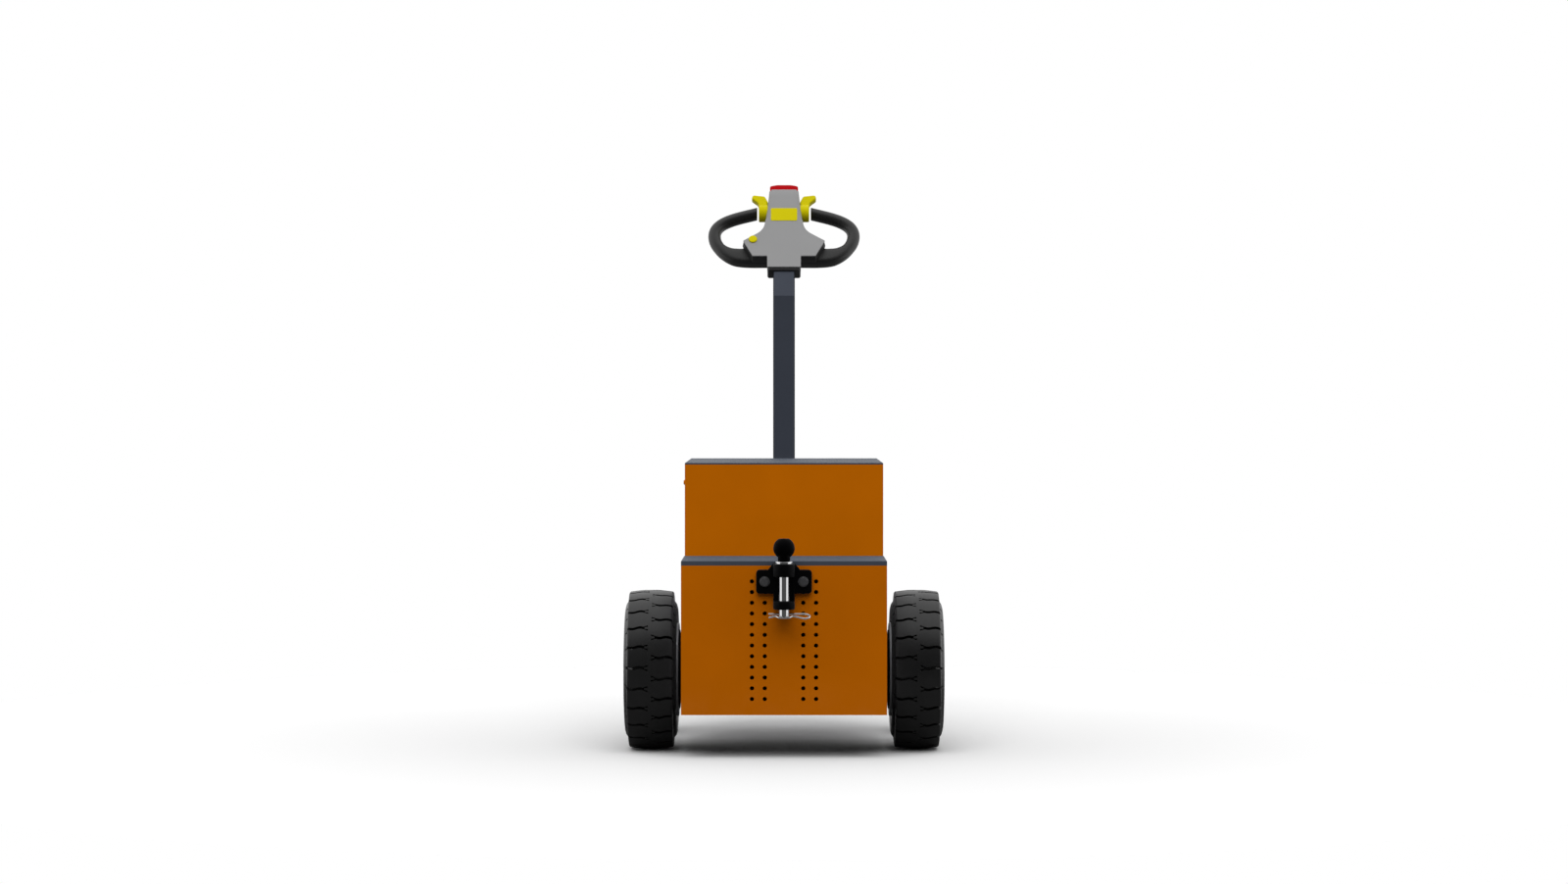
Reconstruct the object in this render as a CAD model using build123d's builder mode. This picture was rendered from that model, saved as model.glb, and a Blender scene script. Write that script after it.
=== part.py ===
from build123d import *
from math import cos, radians, sin
import os

# A walk-behind electric tow tug. Millimetres, +Z up, +Y from the hitch towards the person
# who walks at the tiller, +X across. The origin is on the floor, midway along the machine.
# Lengths called "behind" are measured from the hitch plate's outer face.

# Bodywork
body_w = 482.0  # drive box, over its side walls
box_inset = 2.0  # battery box, in from each side wall
axle_up = 88.0  # underside of the drive box to the wheels' axis
rear_pan_z = 225.0  # floor to the underside behind the drive box
deck_z = 452.0  # top edge of the side walls
box_h = 231.0  # battery box, over its walls
drive_box_l = 500.0  # behind: foot of the sloped wall
slope_l = 60.0  # run of the sloped wall
ledge_l = 262.0  # behind: front of the battery box
body_l = 877.0  # behind: rear wall
wall_t = 4.0
box_t = 3.0
rim_flange_w = 15.0  # inward flange round the battery box's rim
deck_flange_w = 30.0  # inward flange that carries the battery box
belly_flange_w = 25.0  # inward flange that carries the belly pan
pan_t = 3.0
plate_t = 12.0
plate_edge_r = 3.0
bend_r = 3.0  # outside of the folded rear corners
cover_h = 11.0  # ledge cover, over its lips
cover_t = 3.0
cover_edge_r = 2.0
slot_count = 6  # cooling slots in the belly pan
slot_pitch = 34.0
slot_l = 120.0
slot_w = 9.0

# Holes for the hitch, M12 tapping size
hole_r = 5.1
hole_pitch = 25.0
hole_rows = 12
inner_hole_x = 45.0
outer_hole_x = 75.0
hole_top_z = 415.0
bolt_hole_fit = 0.9  # bolt holes in the hitch jaw, wider than the tapped ones

# Hitch jaw, ball and pin
pin_reach = 60.0  # hitch plate to the pin's axis
jaw_back_t = 15.0
jaw_w = 50.0
jaw_top = 43.5  # above the bolts
jaw_bottom = 62.0  # below the bolts
throat_top = 13.5  # above the bolts
throat_bottom = 42.5  # below the bolts
jaw_crown_w = 46.6
jaw_edge_r = 2.5
shoulder_w = 66.0
ear_w = 130.0
ear_h = 56.0
ear_r = 8.0
pin_r = 11.25
pin_fit = 0.25  # radial clearance of the pin in the jaw
pin_tail = 19.0  # pin below the jaw
pin_chamfer = 2.0
collar_r = 20.0
collar_h = 5.5
neck_r = 14.5
ball_r = 25.0
ball_lift = 31.0  # ball centre above the collar
ball_flat = 24.0  # flat top above the ball's centre
clip_r = 2.0
clip_fit = 0.3  # clearance round the clip's wire
clip_lift = 7.0  # clip above the pin's end
clip_reach = 57.0
clip_tail = 34.0
clip_eye_w = 20.0  # over the loop, centre to centre
clip_waist = 9.0  # sprung leg to straight leg, each side of the pin
clip_spring = 3.0  # sprung leg's clearance round the pin
washer_r = 12.0
washer_t = 2.5
bolt_head_r = 10.4
bolt_head_h = 7.5
bolt_shank_r = 5.0

# Drive wheels, 15 x 4 1/2 - 8 solid tyres
axle_behind = 262.0
wheel_gap = 12.0  # side wall to tyre
tyre_r = 190.5
tyre_half_w = 65.0
tread_half_w = 52.0
crown_half_w = 16.0  # plain band round the tread's middle
crown_drop = 3.8
shoulder_r = 150.0
sidewall_r = 134.0
sidewall_in = 2.0  # sidewall's hollow, in from its widest
rim_seat_r = 101.6
rim_flange_r = 112.0
rim_half_w = 56.0  # between the flanges
rim_t = 5.0
disc_t = 8.0
disc_x = 6.0  # disc's inner face, outboard of the centre plane
disc_dish = 12.0  # disc's rim edge, outboard of its middle
groove_count = 24
groove_w = 6.0
groove_depth = 12.0
hub_bore_r = 32.0
hub_flange_r = 70.0
hub_flange_t = 10.0
hub_nose_r = 31.5
hub_nose_l = 26.0
hub_nose_chamfer = 3.0
hub_sleeve_r = 30.0
sleeve_gap = 1.0  # side wall to the sleeve's end
nut_circle_r = 52.0
nut_count = 5
nut_r = 10.4
nut_h = 12.0
shaft_r = 17.5
shaft_fit = 0.05
shaft_depth = 60.0  # shaft inside the axle housing
bore_end = 2.0  # bore beyond the shaft's end
axle_hole_fit = 4.0  # side wall's hole round the hub sleeve
housing_flange_r = 60.0
housing_flange_t = 10.0
housing_tube_r = 38.0
case_gap = 9.0  # gear case over the belly pan
case_w = 170.0
case_slope_l = 30.0
motor_step = 4.0  # gear case to motor, in radius
motor_gap = 32.0  # motor to the foot of the sloped wall

# Castors
castor_r = 62.5
castor_w = 40.0
castor_trail = 38.0
castor_core_r = 50.0
castor_core_w = 46.0
castor_core_inset = 2.0  # core's rim, in from the tread's side
castor_web_half_t = 8.0
castor_hub_r = 16.0
castor_fillet = 4.0
castor_edge = 4.0
castor_bolt_r = 6.0
castor_bolt_head_r = 9.5
castor_bolt_head_h = 7.0
running_fit = 0.05
fork_t = 5.0
fork_gap = 2.0  # core to leg, each side
fork_crown_t = 8.5
fork_leg_r = 16.0
race_r = 28.0
race_h = 14.0
race_neck_r = 22.0
race_gap = 0.5
castor_plate_l = 105.0
castor_plate_w = 85.0
castor_plate_t = 6.0
castor_plate_r = 8.0
castor_hole_r = 4.5
castor_hole_l = 80.0
castor_hole_w = 60.0
beam_overhang = 119.0  # beam past each side wall
beam_h = 60.0
beam_w = 100.0
beam_t = 4.0
beam_edge_r = 6.0
cap_t = 3.0

# Tiller
stem_w = 56.0
stem_d = 40.0
stem_t = 3.0
stem_edge_r = 5.0
stem_gap = 27.0  # rear wall to the stem
pivot_z = 330.0
bend_z = 1100.0
lean_deg = 35.0
foot_r = 22.0
foot_w = 66.0
ear_gap = 1.0
bracket_w = 120.0
bracket_h = 180.0
bracket_t = 8.0
bracket_lift = 10.0  # bracket's middle above the pivot
bracket_edge_r = 10.0
bracket_ear_t = 8.0
bracket_ear_rim = 4.0  # ear beyond the foot's round
ear_root_low = 52.0  # ear's root on the base, below and above the pivot
ear_root_high = 64.0
stop_gap = 0.3
stop_h = 24.0
stop_lift = 46.0
pivot_r = 10.0
pivot_head_r = 15.0
pivot_head_t = 5.0
pivot_chamfer = 1.5

# Tiller head, in its own plane: "up" runs along the leaning stem from the bend, and
# "face" stands square to it, towards the hitch side
head_foot = 80.0
head_top = 334.0
head_back = 28.0
head_face = 30.0
tower_edge_r = 7.0
tower_top_w = 73.0
tower_top_d = 50.0
horn_level = 233.0
horn_level_w = 85.0
block_w = 88.0
block_top = 180.0
wing_half_w = 108.0
wing_top = 170.0
wing_tip = 162.0
wing_foot_half_w = 81.5
wing_foot = 121.0
wing_back = 6.0
wing_face = 30.0
wing_corner_r = 3.5
wing_edge_r = 3.0
flare_x = 60.0
flare_up = 206.0
collar_half_w = 42.0
collar_foot = 46.0
collar_back = 34.0
collar_front = 10.0
collar_fit = 0.3
horn_half_len = 34.5
horn_h = 41.0
horn_up = 254.0
horn_t = 3.5
horn_corner_r = 4.0
horn_recess = 2.0
horn_fit = 0.4
belly_half_w = 35.0
belly_h = 18.0
belly_rise = 4.0
belly_back = 18.0
belly_face = 27.0
belly_edge_r = 3.0
button_x = 80.0
button_up = 173.0
button_r = 11.0
button_h = 5.0

# Thumb levers: a hub on the head's boss, and a paddle that curves up to a round tip
lever_up = 280.0
lever_hub_r = 22.5
lever_hub_w = 22.0
lever_boss_r = 18.0
lever_t = 26.0
lever_edge_r = 3.0
lever_back_up = 316.0
lever_back_r = 12.0
lever_shoulder_x = 56.0
lever_top = 337.5
lever_shoulder_r = 10.0
lever_tip_x = 85.5
lever_tip_foot = 322.0
lever_tip_r = 7.0
lever_waist_up = 304.0
lever_waist_r = 18.0

# Hoop grips: middle line of the bar, with a wide root on the head's foot block
grip_r = 16.5
grip_gap = 0.5  # grip to the wing's back
grip_end_x = 71.0
grip_end_up = 279.0
grip_crest_x = 139.0
grip_crest_up = 267.0
grip_crest_r = 73.0
grip_side_x = 191.0
grip_side_up = 206.0
grip_side_r = 51.0
grip_low_x = 170.0
grip_low_up = 140.0
grip_low_r = 80.0
grip_root_up = 141.0
grip_root_h = 66.0
grip_root_l = 106.0
grip_swell_h = 58.0  # height of the root where it starts to narrow
grip_swell_l = 60.0
grip_root_edge_r = 15.0

# Lid
lid_t = 4.0
lid_corner_r = 3.0
lid_edge = 1.0
lid_rim_h = 12.0
lid_rim_t = 3.0
lid_rim_gap = 8.0  # inside the battery box's rim flange
finger_x = 119.0
finger_behind = 250.0  # behind the lid's front edge
finger_l = 30.0
finger_w = 12.0
hinge_x = 150.0
hinge_r = 5.5
hinge_pin_r = 2.5
knuckle_l = 20.0
knuckle_gap = 0.5
hinge_behind = 6.0  # rear wall to the hinge's axis
leaf_h = 36.0
leaf_t = 2.5

# Batteries, case size 353 x 175 x 190
battery_l = 353.0
battery_w = 175.0
battery_h = 190.0  # over the posts
battery_lid_h = 28.0
battery_lid_out = 2.0  # lid past the case, all round
battery_gap = 12.0
battery_edge_r = 4.0
post_r = 8.8
post_h = 14.0
post_inset = 35.0

# Side lock
lock_behind = 530.0
lock_drop = 49.5  # below the box's rim
lock_r = 6.2
lock_proud = 10.0
lock_chamfer = 2.0

cut_past = 2.0  # how far a cut runs on past the surface that it opens

# Places that follow from the sizes above
box_w = body_w - 2 * box_inset
belly_z = tyre_r - axle_up
box_top_z = deck_z + box_h
lean = radians(lean_deg)
stem_behind = body_l + stem_gap + stem_d / 2
rear_reach = stem_behind + (head_top + belly_h) * sin(lean) + belly_back * cos(lean)
front_reach = pin_reach + jaw_w / 2
face_y = (front_reach - rear_reach) / 2
bolt_z = hole_top_z
pin_y = face_y - pin_reach
axle_y = face_y + axle_behind
rear_y = face_y + body_l
ledge_y = face_y + ledge_l
slope_y = face_y + drive_box_l
castor_y = (slope_y + slope_l + rear_y) / 2
pivot_y = face_y + stem_behind
side_x = body_w / 2 - wall_t
beam_l = body_w + 2 * beam_overhang
castor_x = (beam_l - castor_plate_w) / 2
plate_z = rear_pan_z - beam_h
wheel_x = body_w / 2 + wheel_gap + tyre_half_w
case_r = axle_up - pan_t - case_gap
hub_x = disc_x - hub_flange_t
sleeve_end_x = body_w / 2 + sleeve_gap - wheel_x
shaft_end_x = side_x - shaft_depth - wheel_x
hinge_y = rear_y + hinge_behind
hinge_z = box_top_z + lid_t - hinge_r
block_x = block_w / 2
hub_end_x = block_x + lever_hub_w

os.makedirs("parts", exist_ok=True)


def across(y):
    """Plane across the machine at y: local x is +X, local y is +Z, it faces the hitch side."""
    return Plane.XZ.offset(-y)


def along(x):
    """Plane along the machine at x: local x is +Y, local y is +Z, it faces +X."""
    return Plane.YZ.offset(x)


def level(z):
    """Horizontal plane at height z."""
    return Plane.XY.offset(z)


def spin_plane(x, y, z, outward):
    """Plane through a wheel's axis: local x runs outward along the axis, local y is +Z."""
    return Plane(origin=(x, y, z), x_dir=(outward, 0, 0), z_dir=(0, -outward, 0))


def face_plane(x, y, z, outward):
    """Plane square to a wheel's axis, facing outward."""
    return Plane(origin=(x, y, z), x_dir=(0, outward, 0), z_dir=(outward, 0, 0))


def head_plane(out_of_face=0.0):
    """Plane of the tiller head: local x is +X, local y runs up the leaning stem."""
    tilted = Plane(origin=(0, pivot_y, bend_z), x_dir=(1, 0, 0), z_dir=(0, -cos(lean), sin(lean)))
    return tilted.offset(out_of_face)


def head_point(x, up, out_of_face=0.0):
    """Point of the tiller head, from its own sizes."""
    return head_plane(out_of_face).from_local_coords(Vector(x, up, 0))


def head_side(up):
    """Y and Z of the leaning stem's middle line."""
    middle = head_point(0, up)
    return middle.Y, middle.Z


def stem_section(up, out_of_face=0.0):
    """Plane square to the leaning stem: local x is +X, local y points away from the face."""
    return Plane(origin=head_point(0, up, out_of_face), x_dir=(1, 0, 0), z_dir=head_plane().y_dir)


def save(builder, node):
    """Label the finished piece and write it as a STEP file."""
    builder.part.label = node
    export_step(builder.part, f"parts/{node}.step")


# Hitch plate: thick front wall of the drive box, with four columns of holes
hole_points = [
    (side * column, hole_top_z - row * hole_pitch)
    for side in (-1, 1)
    for column in (inner_hole_x, outer_hole_x)
    for row in range(hole_rows)
]
plate_h = deck_z - belly_z
with BuildPart() as hitch_plate:
    with BuildSketch(across(face_y + plate_t)):
        with Locations((0, belly_z + plate_h / 2)):
            Rectangle(body_w, plate_h)
        with Locations(*hole_points):
            Circle(hole_r, mode=Mode.SUBTRACT)
    extrude(amount=plate_t)
    outer_edges = hitch_plate.edges().filter_by(Axis.Z).group_by(Axis.Y)[0]
    fillet(outer_edges, radius=min(plate_edge_r, plate_t / 3))
save(hitch_plate, "hitch_plate")

# Chassis shell: folded side walls, sloped wall, rear pan and rear wall, open at the front,
# with inward flanges round the belly and round the deck
shell_y = face_y + plate_t
shell_z = belly_z + pan_t
with BuildPart() as chassis_shell:
    with BuildSketch(along(0)):
        with BuildLine():
            Polyline(
                (shell_y, shell_z),
                (slope_y, shell_z),
                (slope_y + slope_l, rear_pan_z),
                (rear_y, rear_pan_z),
                (rear_y, deck_z),
                (shell_y, deck_z),
                close=True,
            )
        make_face()
    extrude(amount=body_w / 2, both=True)
    rear_corners = chassis_shell.edges().filter_by(Axis.Z).group_by(Axis.Y)[-1]
    fillet(rear_corners, radius=min(bend_r, wall_t * 0.9))
    with BuildSketch(along(0)):
        with BuildLine():
            Polyline(
                (shell_y, shell_z + wall_t),
                (slope_y - wall_t, shell_z + wall_t),
                (slope_y + slope_l - wall_t, rear_pan_z + wall_t),
                (rear_y - wall_t, rear_pan_z + wall_t),
                (rear_y - wall_t, deck_z - wall_t),
                (shell_y, deck_z - wall_t),
                close=True,
            )
        make_face()
    extrude(amount=side_x, both=True, mode=Mode.SUBTRACT)
    belly_l = slope_y - shell_y - 2 * belly_flange_w
    with BuildSketch(level(shell_z)):
        with Locations((0, shell_y + belly_flange_w + belly_l / 2)):
            Rectangle(body_w - 2 * belly_flange_w, belly_l)
    extrude(amount=wall_t, mode=Mode.SUBTRACT)
    deck_l = rear_y - shell_y - 2 * deck_flange_w
    with BuildSketch(level(deck_z - wall_t)):
        with Locations((0, shell_y + deck_flange_w + deck_l / 2)):
            Rectangle(body_w - 2 * deck_flange_w, deck_l)
    extrude(amount=wall_t, mode=Mode.SUBTRACT)
    with BuildSketch(along(0)):
        with Locations((axle_y, tyre_r)):
            Circle(hub_sleeve_r + axle_hole_fit)
    extrude(amount=body_w / 2, both=True, mode=Mode.SUBTRACT)
save(chassis_shell, "chassis_shell")

# Belly pan: flat sheet under the drive box, with cooling slots
pan_l = slope_y - shell_y
with BuildPart() as belly_pan:
    with BuildSketch(level(belly_z)):
        with Locations((0, shell_y + pan_l / 2)):
            Rectangle(body_w, pan_l)
        with Locations((0, shell_y + pan_l / 2)):
            with GridLocations(0, slot_pitch, 1, slot_count):
                SlotOverall(slot_l, slot_w, mode=Mode.SUBTRACT)
    extrude(amount=pan_t)
save(belly_pan, "belly_pan")

# Ledge cover: a folded tray turned upside down on the drive box, open at the rear
with BuildPart() as ledge_cover:
    with BuildSketch(level(deck_z)):
        with Locations((0, face_y + ledge_l / 2)):
            Rectangle(body_w, ledge_l)
    extrude(amount=cover_h)
    with BuildSketch(level(deck_z)):
        with Locations((0, face_y + cover_t + (ledge_l - cover_t) / 2)):
            Rectangle(body_w - 2 * cover_t, ledge_l - cover_t)
    extrude(amount=cover_h - cover_t, mode=Mode.SUBTRACT)
    top_face = ledge_cover.faces().sort_by(Axis.Z)[-1]
    front_edge = top_face.edges().sort_by(Axis.Y)[0]
    side_edges = top_face.edges().filter_by(Axis.Y)
    fillet([front_edge, *side_edges], radius=min(cover_edge_r, cover_t * 0.8))
save(ledge_cover, "ledge_cover")

# Battery box: welded sheet box on the deck flange, with an inward flange round its rim
box_l = body_l - ledge_l
box_mid_y = ledge_y + box_l / 2
with BuildPart() as battery_box:
    with BuildSketch(level(deck_z)):
        with Locations((0, box_mid_y)):
            RectangleRounded(box_w, box_l, bend_r)
    extrude(amount=box_h)
    with BuildSketch(level(deck_z + box_t)):
        with Locations((0, box_mid_y)):
            Rectangle(box_w - 2 * box_t, box_l - 2 * box_t)
    extrude(amount=box_h - 2 * box_t, mode=Mode.SUBTRACT)
    with BuildSketch(level(box_top_z - box_t)):
        with Locations((0, box_mid_y)):
            Rectangle(box_w - 2 * rim_flange_w, box_l - 2 * rim_flange_w)
    extrude(amount=box_t, mode=Mode.SUBTRACT)
save(battery_box, "battery_box")

# Batteries: two cases side by side in the middle of the box, each with a lid and two posts
battery_x = (battery_w + battery_gap) / 2
battery_z = deck_z + box_t
battery_lid_z = battery_z + battery_h - post_h
with BuildPart() as batteries:
    for side in (-1, 1):
        with BuildSketch(level(battery_z)):
            with Locations((side * battery_x, box_mid_y)):
                RectangleRounded(
                    battery_w - 2 * battery_lid_out,
                    battery_l - 2 * battery_lid_out,
                    battery_edge_r,
                )
        extrude(amount=battery_h - battery_lid_h)
        with BuildSketch(level(battery_z + battery_h - battery_lid_h)):
            with Locations((side * battery_x, box_mid_y)):
                RectangleRounded(battery_w, battery_l, battery_edge_r)
        extrude(amount=battery_lid_h - post_h)
        with BuildSketch(level(battery_lid_z)):
            with Locations((side * battery_x, box_mid_y + battery_l / 2 - post_inset)):
                with GridLocations(battery_w - 2 * post_inset, 0, 2, 1):
                    Circle(post_r)
        extrude(amount=post_h)
save(batteries, "batteries")

# Side lock: small round lock on the left wall of the battery box
with BuildPart() as side_lock:
    with BuildSketch(face_plane(-box_w / 2, face_y + lock_behind, box_top_z - lock_drop, -1)):
        Circle(lock_r)
    extrude(amount=lock_proud)
    chamfer(side_lock.faces().sort_by(Axis.X)[0].edges(), length=lock_chamfer)
save(side_lock, "side_lock")

# Drive unit: axle housing with its gear case and motor, one closed block in the drive box.
# Its end flanges bear on the side walls and its bores carry the wheel shafts.
with BuildPart() as drive_unit:
    with BuildSketch(across(axle_y)):
        with BuildLine():
            Polyline(
                (-side_x, tyre_r),
                (-side_x, tyre_r + housing_flange_r),
                (-side_x + housing_flange_t, tyre_r + housing_flange_r),
                (-side_x + housing_flange_t, tyre_r + housing_tube_r),
                (-case_w / 2 - case_slope_l, tyre_r + housing_tube_r),
                (-case_w / 2, tyre_r + case_r),
                (case_w / 2, tyre_r + case_r),
                (case_w / 2 + case_slope_l, tyre_r + housing_tube_r),
                (side_x - housing_flange_t, tyre_r + housing_tube_r),
                (side_x - housing_flange_t, tyre_r + housing_flange_r),
                (side_x, tyre_r + housing_flange_r),
                (side_x, tyre_r),
                close=True,
            )
        make_face()
    revolve(axis=Axis((0, axle_y, tyre_r), (1, 0, 0)))
    with BuildSketch(across(axle_y)):
        with Locations((0, tyre_r)):
            Circle(case_r - motor_step)
    extrude(amount=axle_y + motor_gap - slope_y)
    for side in (-1, 1):
        with BuildSketch(face_plane(side * side_x, axle_y, tyre_r, side)):
            Circle(shaft_r + shaft_fit)
        extrude(amount=-(shaft_depth + bore_end), mode=Mode.SUBTRACT)
save(drive_unit, "drive_unit")

# Castor beam: rectangular tube across the machine under the rear pan
beam_z = plate_z + beam_h / 2
with BuildPart() as castor_beam:
    with BuildSketch(along(-beam_l / 2)):
        with Locations((castor_y, beam_z)):
            RectangleRounded(beam_w, beam_h, beam_edge_r)
            RectangleRounded(
                beam_w - 2 * beam_t,
                beam_h - 2 * beam_t,
                max(beam_edge_r - beam_t, beam_t / 4),
                mode=Mode.SUBTRACT,
            )
    extrude(amount=beam_l)
save(castor_beam, "castor_beam")

# Beam end caps: moulded covers on both ends of the beam
with BuildPart() as beam_end_caps:
    for side in (-1, 1):
        with BuildSketch(face_plane(side * beam_l / 2, castor_y, beam_z, side)):
            RectangleRounded(beam_w, beam_h, beam_edge_r)
        extrude(amount=cap_t)
save(beam_end_caps, "beam_end_caps")

# Tiller bracket: base on the rear wall, two ears for the pivot pin, and a stop web that
# the stem rests against when it stands upright
ear_in = foot_w / 2 + ear_gap
ear_out = ear_in + bracket_ear_t
ear_r_out = foot_r + bracket_ear_rim
base_y = rear_y + bracket_t
with BuildPart() as tiller_bracket:
    with BuildSketch(across(base_y)):
        with Locations((0, pivot_z + bracket_lift)):
            RectangleRounded(bracket_w, bracket_h, bracket_edge_r)
    extrude(amount=bracket_t)
    for side in (-1, 1):
        with BuildSketch(along(side * ear_in)):
            with BuildLine():
                Polyline(
                    (base_y, pivot_z - ear_root_low),
                    (pivot_y, pivot_z - ear_r_out),
                    (pivot_y, pivot_z + ear_r_out),
                    (base_y, pivot_z + ear_root_high),
                    close=True,
                )
            make_face()
            with Locations((pivot_y, pivot_z)):
                Circle(ear_r_out)
                Circle(pivot_r + running_fit, mode=Mode.SUBTRACT)
        extrude(amount=side * bracket_ear_t)
    stop_l = stem_gap - bracket_t - stop_gap
    with BuildSketch(along(0)):
        with Locations((base_y + stop_l / 2, pivot_z + stop_lift)):
            Rectangle(stop_l, stop_h)
    extrude(amount=ear_in, both=True)
save(tiller_bracket, "tiller_bracket")

# Pivot pin: through both ears and the tiller's foot, with a head at each end
with BuildPart() as tiller_pin:
    with BuildSketch(along(-ear_out)):
        with Locations((pivot_y, pivot_z)):
            Circle(pivot_r)
    extrude(amount=2 * ear_out)
    for side in (-1, 1):
        with BuildSketch(face_plane(side * ear_out, pivot_y, pivot_z, side)):
            Circle(pivot_head_r)
        extrude(amount=pivot_head_t)
    ends = tiller_pin.faces().sort_by(Axis.X)
    chamfer([*ends[0].edges(), *ends[-1].edges()], length=pivot_chamfer)
save(tiller_pin, "tiller_pin")

# Hitch jaw: back plate with two bolt ears, and two jaws with a throat between them
jaw_z = bolt_z - jaw_bottom
with BuildPart() as hitch_jaw:
    with BuildSketch(across(face_y)):
        with Locations((0, bolt_z)):
            RectangleRounded(ear_w, ear_h, ear_r)
        with BuildLine():
            Polyline(
                (-jaw_w / 2, bolt_z - jaw_bottom),
                (jaw_w / 2, bolt_z - jaw_bottom),
                (jaw_w / 2, bolt_z),
                (shoulder_w / 2, bolt_z + ear_h / 2),
                (jaw_crown_w / 2, bolt_z + jaw_top),
                (-jaw_crown_w / 2, bolt_z + jaw_top),
                (-shoulder_w / 2, bolt_z + ear_h / 2),
                (-jaw_w / 2, bolt_z),
                close=True,
            )
        make_face()
    extrude(amount=jaw_back_t)
    ear_face = hitch_jaw.faces().sort_by(Axis.Y)[0]
    chamfer(ear_face.edges(), length=jaw_edge_r)
    with BuildSketch(across(face_y)):
        with Locations((-inner_hole_x, bolt_z), (inner_hole_x, bolt_z)):
            Circle(hole_r + bolt_hole_fit)
    extrude(amount=jaw_back_t, mode=Mode.SUBTRACT)
    for low, high in ((-jaw_bottom, -throat_bottom), (throat_top, jaw_top)):
        with BuildSketch(level(bolt_z + low)):
            with Locations((0, pin_y)):
                Circle(jaw_w / 2)
            with Locations((0, (pin_y + face_y) / 2)):
                Rectangle(jaw_w, pin_reach)
        extrude(amount=high - low)
    with BuildSketch(level(jaw_z)):
        with Locations((0, pin_y)):
            Circle(pin_r + pin_fit)
    extrude(amount=jaw_bottom + jaw_top, mode=Mode.SUBTRACT)
save(hitch_jaw, "hitch_jaw")

# Hitch bolts: hexagon heads on washers, in the top row of holes
with BuildPart() as hitch_bolts:
    for side in (-1, 1):
        with BuildSketch(across(face_y - jaw_back_t)):
            with Locations((side * inner_hole_x, bolt_z)):
                Circle(washer_r)
        extrude(amount=washer_t)
        with BuildSketch(across(face_y - jaw_back_t - washer_t)):
            with Locations((side * inner_hole_x, bolt_z)):
                RegularPolygon(bolt_head_r, 6)
        extrude(amount=bolt_head_h)
        with BuildSketch(across(face_y - jaw_back_t)):
            with Locations((side * inner_hole_x, bolt_z)):
                Circle(bolt_shank_r)
        extrude(amount=-(jaw_back_t + plate_t))
save(hitch_bolts, "hitch_bolts")

# Towing ball: ball, neck, collar and the long pin below it, turned in one piece
collar_z = bolt_z + jaw_top
ball_z = collar_z + collar_h + ball_lift
pin_end_z = jaw_z - pin_tail
with BuildPart() as hitch_ball_pin:
    with BuildSketch(across(pin_y)):
        with BuildLine():
            Polyline(
                (0, pin_end_z),
                (pin_r - pin_chamfer, pin_end_z),
                (pin_r, pin_end_z + pin_chamfer),
                (pin_r, collar_z),
                (collar_r, collar_z),
                (collar_r, collar_z + collar_h),
                (neck_r, collar_z + collar_h),
                (neck_r, ball_z),
                (0, ball_z),
                close=True,
            )
        make_face()
        with Locations((0, ball_z)):
            Circle(ball_r)
        with Locations((-ball_r, ball_z)):
            Rectangle(2 * ball_r, 2 * ball_r + cut_past, mode=Mode.SUBTRACT)
        with Locations((0, ball_z + ball_flat + ball_r)):
            Rectangle(2 * ball_r, 2 * ball_r, mode=Mode.SUBTRACT)
    revolve(axis=Axis((0, pin_y, 0), (0, 0, 1)))
    with BuildSketch(along(-pin_r)):
        with Locations((pin_y, pin_end_z + clip_lift)):
            Circle(clip_r + clip_fit)
    extrude(amount=2 * pin_r, mode=Mode.SUBTRACT)
save(hitch_ball_pin, "hitch_ball_pin")

# Wire clip: one leg through the pin, an eye, and a leg sprung round the pin's outside
clip_out = pin_r + clip_r + clip_spring
clip_leg = pin_r + clip_waist
with BuildPart() as hitch_clip:
    with BuildLine(level(pin_end_z + clip_lift)) as clip_path:
        Polyline(
            (-clip_tail, pin_y),
            (clip_reach - clip_eye_w / 2, pin_y),
            (clip_reach, pin_y - clip_eye_w / 4),
            (clip_reach, pin_y - clip_eye_w * 3 / 4),
            (clip_reach - clip_eye_w / 2, pin_y - clip_eye_w),
            (clip_leg, pin_y - clip_waist),
            (pin_r, pin_y - clip_out),
            (-pin_r, pin_y - clip_out),
            (-clip_leg, pin_y - clip_waist),
            (-clip_tail, pin_y - clip_out),
        )
    with BuildSketch(Plane(origin=clip_path.line @ 0, z_dir=clip_path.line % 0)):
        Circle(clip_r)
    sweep(transition=Transition.RIGHT)
save(hitch_clip, "hitch_clip")

# Lid hinges: fixed leaves on the rear wall, two outer knuckles each and the pin
leaf_z = hinge_z - leaf_h / 2 - hinge_r
with BuildPart() as lid_hinges:
    for side in (-1, 1):
        middle = side * hinge_x
        with BuildSketch(across(rear_y + leaf_t)):
            with Locations((middle, leaf_z)):
                Rectangle(3 * knuckle_l + 2 * knuckle_gap, leaf_h)
        extrude(amount=leaf_t)
        for end in (-1, 1):
            start = middle + end * (knuckle_l / 2 + knuckle_gap)
            with BuildSketch(along(start)):
                with Locations((hinge_y, hinge_z)):
                    Circle(hinge_r)
                with Locations(((rear_y + hinge_y) / 2, hinge_z - leaf_h / 4)):
                    Rectangle(hinge_behind, leaf_h / 2)
            extrude(amount=end * knuckle_l)
        with BuildSketch(along(middle - knuckle_l)):
            with Locations((hinge_y, hinge_z)):
                Circle(hinge_pin_r)
        extrude(amount=2 * knuckle_l)
save(lid_hinges, "lid_hinges")

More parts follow.
